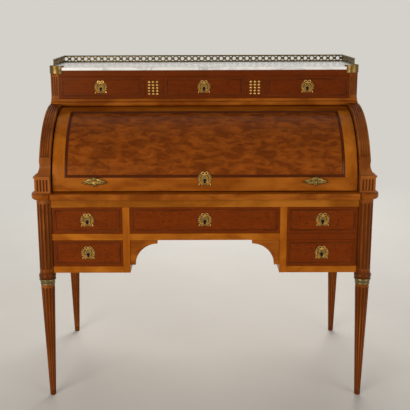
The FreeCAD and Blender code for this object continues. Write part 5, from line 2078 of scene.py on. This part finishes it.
@dataclass
class Top(Assembly):
    """Marble top with its corner caps and pierced gallery."""

    marble_edge: float = 1.6 * MM
    cap_edge: float = 0.6 * MM
    pitch: float = 26.5 * MM
    thickness: float = 2.4 * MM
    strip_edge: float = 0.5 * MM
    strip_margin: float = 0.4 * MM
    ring_share: float = 0.27
    ring_sides: int = 20
    slot_sides: int = 10
    slot_width_share: float = 0.44
    slot_height_share: float = 0.17
    slot_level_shares: Flat = (0.24, 0.76)
    strip_inset: float = 1.5 * MM
    front_inset: float = 2.0 * MM
    rail_overhang: float = 1.5 * MM
    rail_sides: int = 10
    # Each rail's lift from the strip's head or foot, half width and half height.
    top_rail: tuple[float, float, float] = (-1.2 * MM, 2.3 * MM, 1.7 * MM)
    foot_rail: tuple[float, float, float] = (1.5 * MM, 2.2 * MM, 1.5 * MM)
    crease: float = 30.0

    def unit(self, width: float, height: float) -> bpy.types.Mesh:
        """Makes one repeat of the pierced strip: a round hole, then a slot above and a slot below.

        Args:
            width: length of the repeat.
            height: height of the strip.

        Returns:
            The repeat along X with its foot on the plane of Z zero.
        """
        curve = bpy.data.curves.new("gallery_repeat", "CURVE")
        curve.dimensions = "2D"
        curve.fill_mode = "BOTH"
        curve.extrude = self.thickness / 2 - self.strip_edge
        curve.bevel_depth = self.strip_edge
        curve.bevel_resolution = 1
        half, quarter = width / 2, width / 4
        low, high = self.strip_margin, height - self.strip_margin
        self.outline(curve, [(-half, low), (half, low), (half, high), (-half, high)])
        ring = oval(self.ring_sides, self.ring_share * width, self.ring_share * width)
        self.outline(curve, [(x - quarter, height / 2 + z) for x, z in ring])
        slot = oval(self.slot_sides, self.slot_width_share * half, self.slot_height_share * height / 2)
        for share in self.slot_level_shares:
            self.outline(curve, [(x + quarter, share * height + z) for x, z in slot])
        mesh = plain_mesh(hang("gallery_repeat", curve))
        mesh.transform(Matrix.Rotation(math.pi / 2, 4, "X"))
        return mesh

    @staticmethod
    def outline(curve: bpy.types.Curve, points: Sequence[Flat]) -> None:
        """Adds a closed outline to a flat curve.

        Args:
            curve: the curve.
            points: corners of the outline.
        """
        spline = curve.splines.new("POLY")
        spline.points.add(len(points) - 1)
        for spot, (x, y) in zip(spline.points, points):
            spot.co = (x, y, 0.0, 1.0)
        spline.use_cyclic_u = True

    def strip(self, shaper: Shaper, start: Vector, end: Vector, height: float) -> None:
        """Sets the repeats along one side, between a foot rail and a round top rail.

        Args:
            shaper: what collects the gallery.
            start: foot of the strip's first end.
            end: foot of its other end.
            height: height of the gallery.
        """
        length = (end - start).length
        count = round(length / self.pitch)
        step = length / count
        way = (end - start).normalized()
        path = [start + way * (step / 2), end - way * (step / 2)]
        shaper.stamp(PLAN_REPEATER.run(path, self.unit(step, height), count, GALLERY_BRASS))
        side = way.cross(Vector((0, 0, 1)))
        ends = (start - way * self.rail_overhang, end + way * self.rail_overhang)
        for foot, (lift, wide, tall) in ((start.z + height, self.top_rail), (start.z, self.foot_rail)):
            corners = oval(self.rail_sides, wide, tall)
            centres = [Vector((point.x, point.y, foot + lift)) for point in ends]
            shaper.loft([[one + side * x + Vector((0, 0, z)) for x, z in corners] for one in centres])

    def gallery(self) -> None:
        """Puts the pierced strips along the back and both sides."""
        low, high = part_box("gallery")
        x, front, back = high.x - self.strip_inset, low.y + self.front_inset, high.y - self.strip_inset
        shaper = Shaper()
        for start, end in (((-x, back), (x, back)), ((x, front), (x, back)), ((-x, front), (-x, back))):
            self.strip(shaper, Vector((*start, low.z)), Vector((*end, low.z)), high.z - low.z)
        mesh = shaper.finish("pierced_gallery", crease=self.crease)
        self.add("pierced_gallery", mesh, GALLERY_BRASS, ["gallery"])

    def build(self) -> None:
        """Dresses the top."""
        self.ease(MARBLE, self.marble_edge, "marble_top")
        self.ease(CAP_BRASS, self.cap_edge, "gallery_corner_caps")
        self.gallery()


# Studio


@dataclass(frozen=True)
class Lamp:
    """A soft rectangular lamp."""

    name: str
    place: tuple[float, float, float]
    aim: tuple[float, float, float]
    size: float
    power: float
    colour: Rgb = (255, 255, 255)
    mirrored: bool = True

    def build(self) -> None:
        """Hangs the lamp and turns it to its aim."""
        light = bpy.data.lights.new(self.name, "AREA")
        light.size = self.size
        light.energy = self.power
        light.color = linear(self.colour)[:3]
        lamp = hang(self.name, light)
        lamp.location = self.place
        lamp.visible_glossy = self.mirrored
        way = Vector(self.aim) - Vector(self.place)
        lamp.rotation_euler = way.to_track_quat("-Z", "Y").to_euler()


@dataclass(frozen=True)
class Studio:
    """Floor, light and camera."""

    frame_pixels: float = 410.0
    focal_pixels: float = 717.0
    centre_x: float = 194.1
    centre_y: float = 160.0
    camera: tuple[float, float, float] = (-0.0226, -2.6776, 1.3797)
    pitch: float = 11.75
    yaw: float = -0.326
    roll: float = -0.244
    sensor: float = 36.0
    backdrop: Rgb = (212, 209, 202)
    room_colour: Rgb = (236, 240, 246)
    room_light: float = 0.22
    lamps: tuple[Lamp, ...] = (
        Lamp("key_lamp", (-2.4, -3.6, 1.3), (0.0, 0.0, 0.6), 2.2, 114.0, (255, 248, 238)),
        Lamp("fill_lamp", (3.0, -3.0, 1.2), (0.0, 0.0, 0.6), 2.2, 52.0),
        Lamp("top_lamp", (0.0, 2.6, 3.2), (0.0, 0.2, 0.8), 3.0, 84.0, mirrored=False),
        Lamp("back_lamp", (0.8, 3.6, 2.0), (0.0, 0.0, 0.6), 2.4, 60.0, mirrored=False),
    )

    def floor(self) -> None:
        """Lays a wide pale floor."""
        mesh = bpy.data.meshes.new("floor")
        far = FLOOR.reach
        corners = [(-far, -far, 0), (far, -far, 0), (far, far, 0), (-far, far, 0)]
        mesh.from_pydata(corners, [], [(0, 1, 2, 3)])
        mesh.materials.append(FLOOR.material())
        floor = hang("floor", mesh)
        floor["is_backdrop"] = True

    def world(self) -> None:
        """Lights the room softly and shows a pale backdrop behind the desk."""
        world = bpy.data.worlds.new("studio")
        bpy.context.scene.world = world
        world.use_nodes = True
        world.node_tree.nodes.clear()
        sheet = Sheet(world.node_tree)
        feeds = {"Color": linear(self.room_colour), "Strength": self.room_light}
        soft = sheet.add("ShaderNodeBackground", feeds).outputs["Background"]
        seen = sheet.add("ShaderNodeBackground", {"Color": linear(self.backdrop)}).outputs["Background"]
        rays = sheet.add("ShaderNodeLightPath").outputs
        direct = sheet.calc("ADD", rays["Is Camera Ray"], rays["Is Glossy Ray"])
        direct = sheet.calc("ADD", direct, rays["Is Transmission Ray"])
        mix = sheet.add("ShaderNodeMixShader", {0: direct, 1: soft, 2: seen})
        sheet.add("ShaderNodeOutputWorld", {"Surface": mix.outputs["Shader"]})

    def view(self) -> None:
        """Sets the camera where the photograph was taken from."""
        data = bpy.data.cameras.new("camera")
        data.sensor_width = self.sensor
        data.lens = self.focal_pixels / self.frame_pixels * self.sensor
        data.shift_x = (self.frame_pixels / 2 - self.centre_x) / self.frame_pixels
        data.shift_y = (self.centre_y - self.frame_pixels / 2) / self.frame_pixels
        camera = hang("camera", data)
        level = Matrix.Rotation(math.radians(90.0 - self.pitch), 4, "X")
        aim = Matrix.Rotation(math.radians(-self.yaw), 4, "Z")
        lean = Matrix.Rotation(math.radians(self.roll), 4, "Z")
        camera.matrix_world = Matrix.Translation(self.camera) @ aim @ level @ lean
        bpy.context.scene.camera = camera

    def build(self) -> None:
        """Sets up the studio."""
        self.floor()
        self.world()
        for lamp in self.lamps:
            lamp.build()
        self.view()
        bpy.context.scene.view_settings.view_transform = "Standard"


# The desk as a whole


SIDES = ("left", "centre", "right")
FRIEZE_PLATE_ROWS = {
    "left_top_drawer": (46.9 * MM,),
    "left_low_drawer": (47.4 * MM,),
    "centre_drawer": (46.9 * MM,),
    "right_deep_drawer": (47.4 * MM, 166.9 * MM),
}
UPPER_PLATE_ROWS = (40.4 * MM,)
UPPER_FRONT_DEPTH = 18.5 * MM


def drawers() -> Iterable[Assembly]:
    """Yields the drawers of the frieze, those under the marble and those in the nest.

    Returns:
        The drawers in the order in which they are built.
    """
    for name, rows in FRIEZE_PLATE_ROWS.items():
        yield Drawer(name, front=name + "_front", box=name + "_box", lock=name + "_lock", plate_rows=rows)
    for name in ["upper_drawer_" + side for side in SIDES]:
        yield Drawer(
            name, front=name, lock=name + "_lock", plate_rows=UPPER_PLATE_ROWS, wood=UPPER_WOOD,
            front_depth=UPPER_FRONT_DEPTH,
        )
    for name in ["nest_drawer_" + side for side in SIDES]:
        yield NestDrawer(name, node=name)


def write_sizes() -> None:
    """Gathers the frame's box and the dressed desk's box."""
    boxes = {"cad": CAD_BOX, "visual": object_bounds()}
    {name: [list(corner) for corner in box] for name, box in boxes.items()}


def main() -> None:
    """Builds the desk's looks in order and reports each piece."""
    logging.basicConfig(level=logging.INFO, format="%(name)s: %(message)s")
    carcase = [LegFrame(), Waist(), WritingBoard(), Fall(), Case(), UpperCase(), Top()]
    for assembly in [*carcase, *drawers()]:
        assembly.build()
        assembly.report()
    Studio().build()
    write_sizes()


if __name__ == "__main__":
    main()
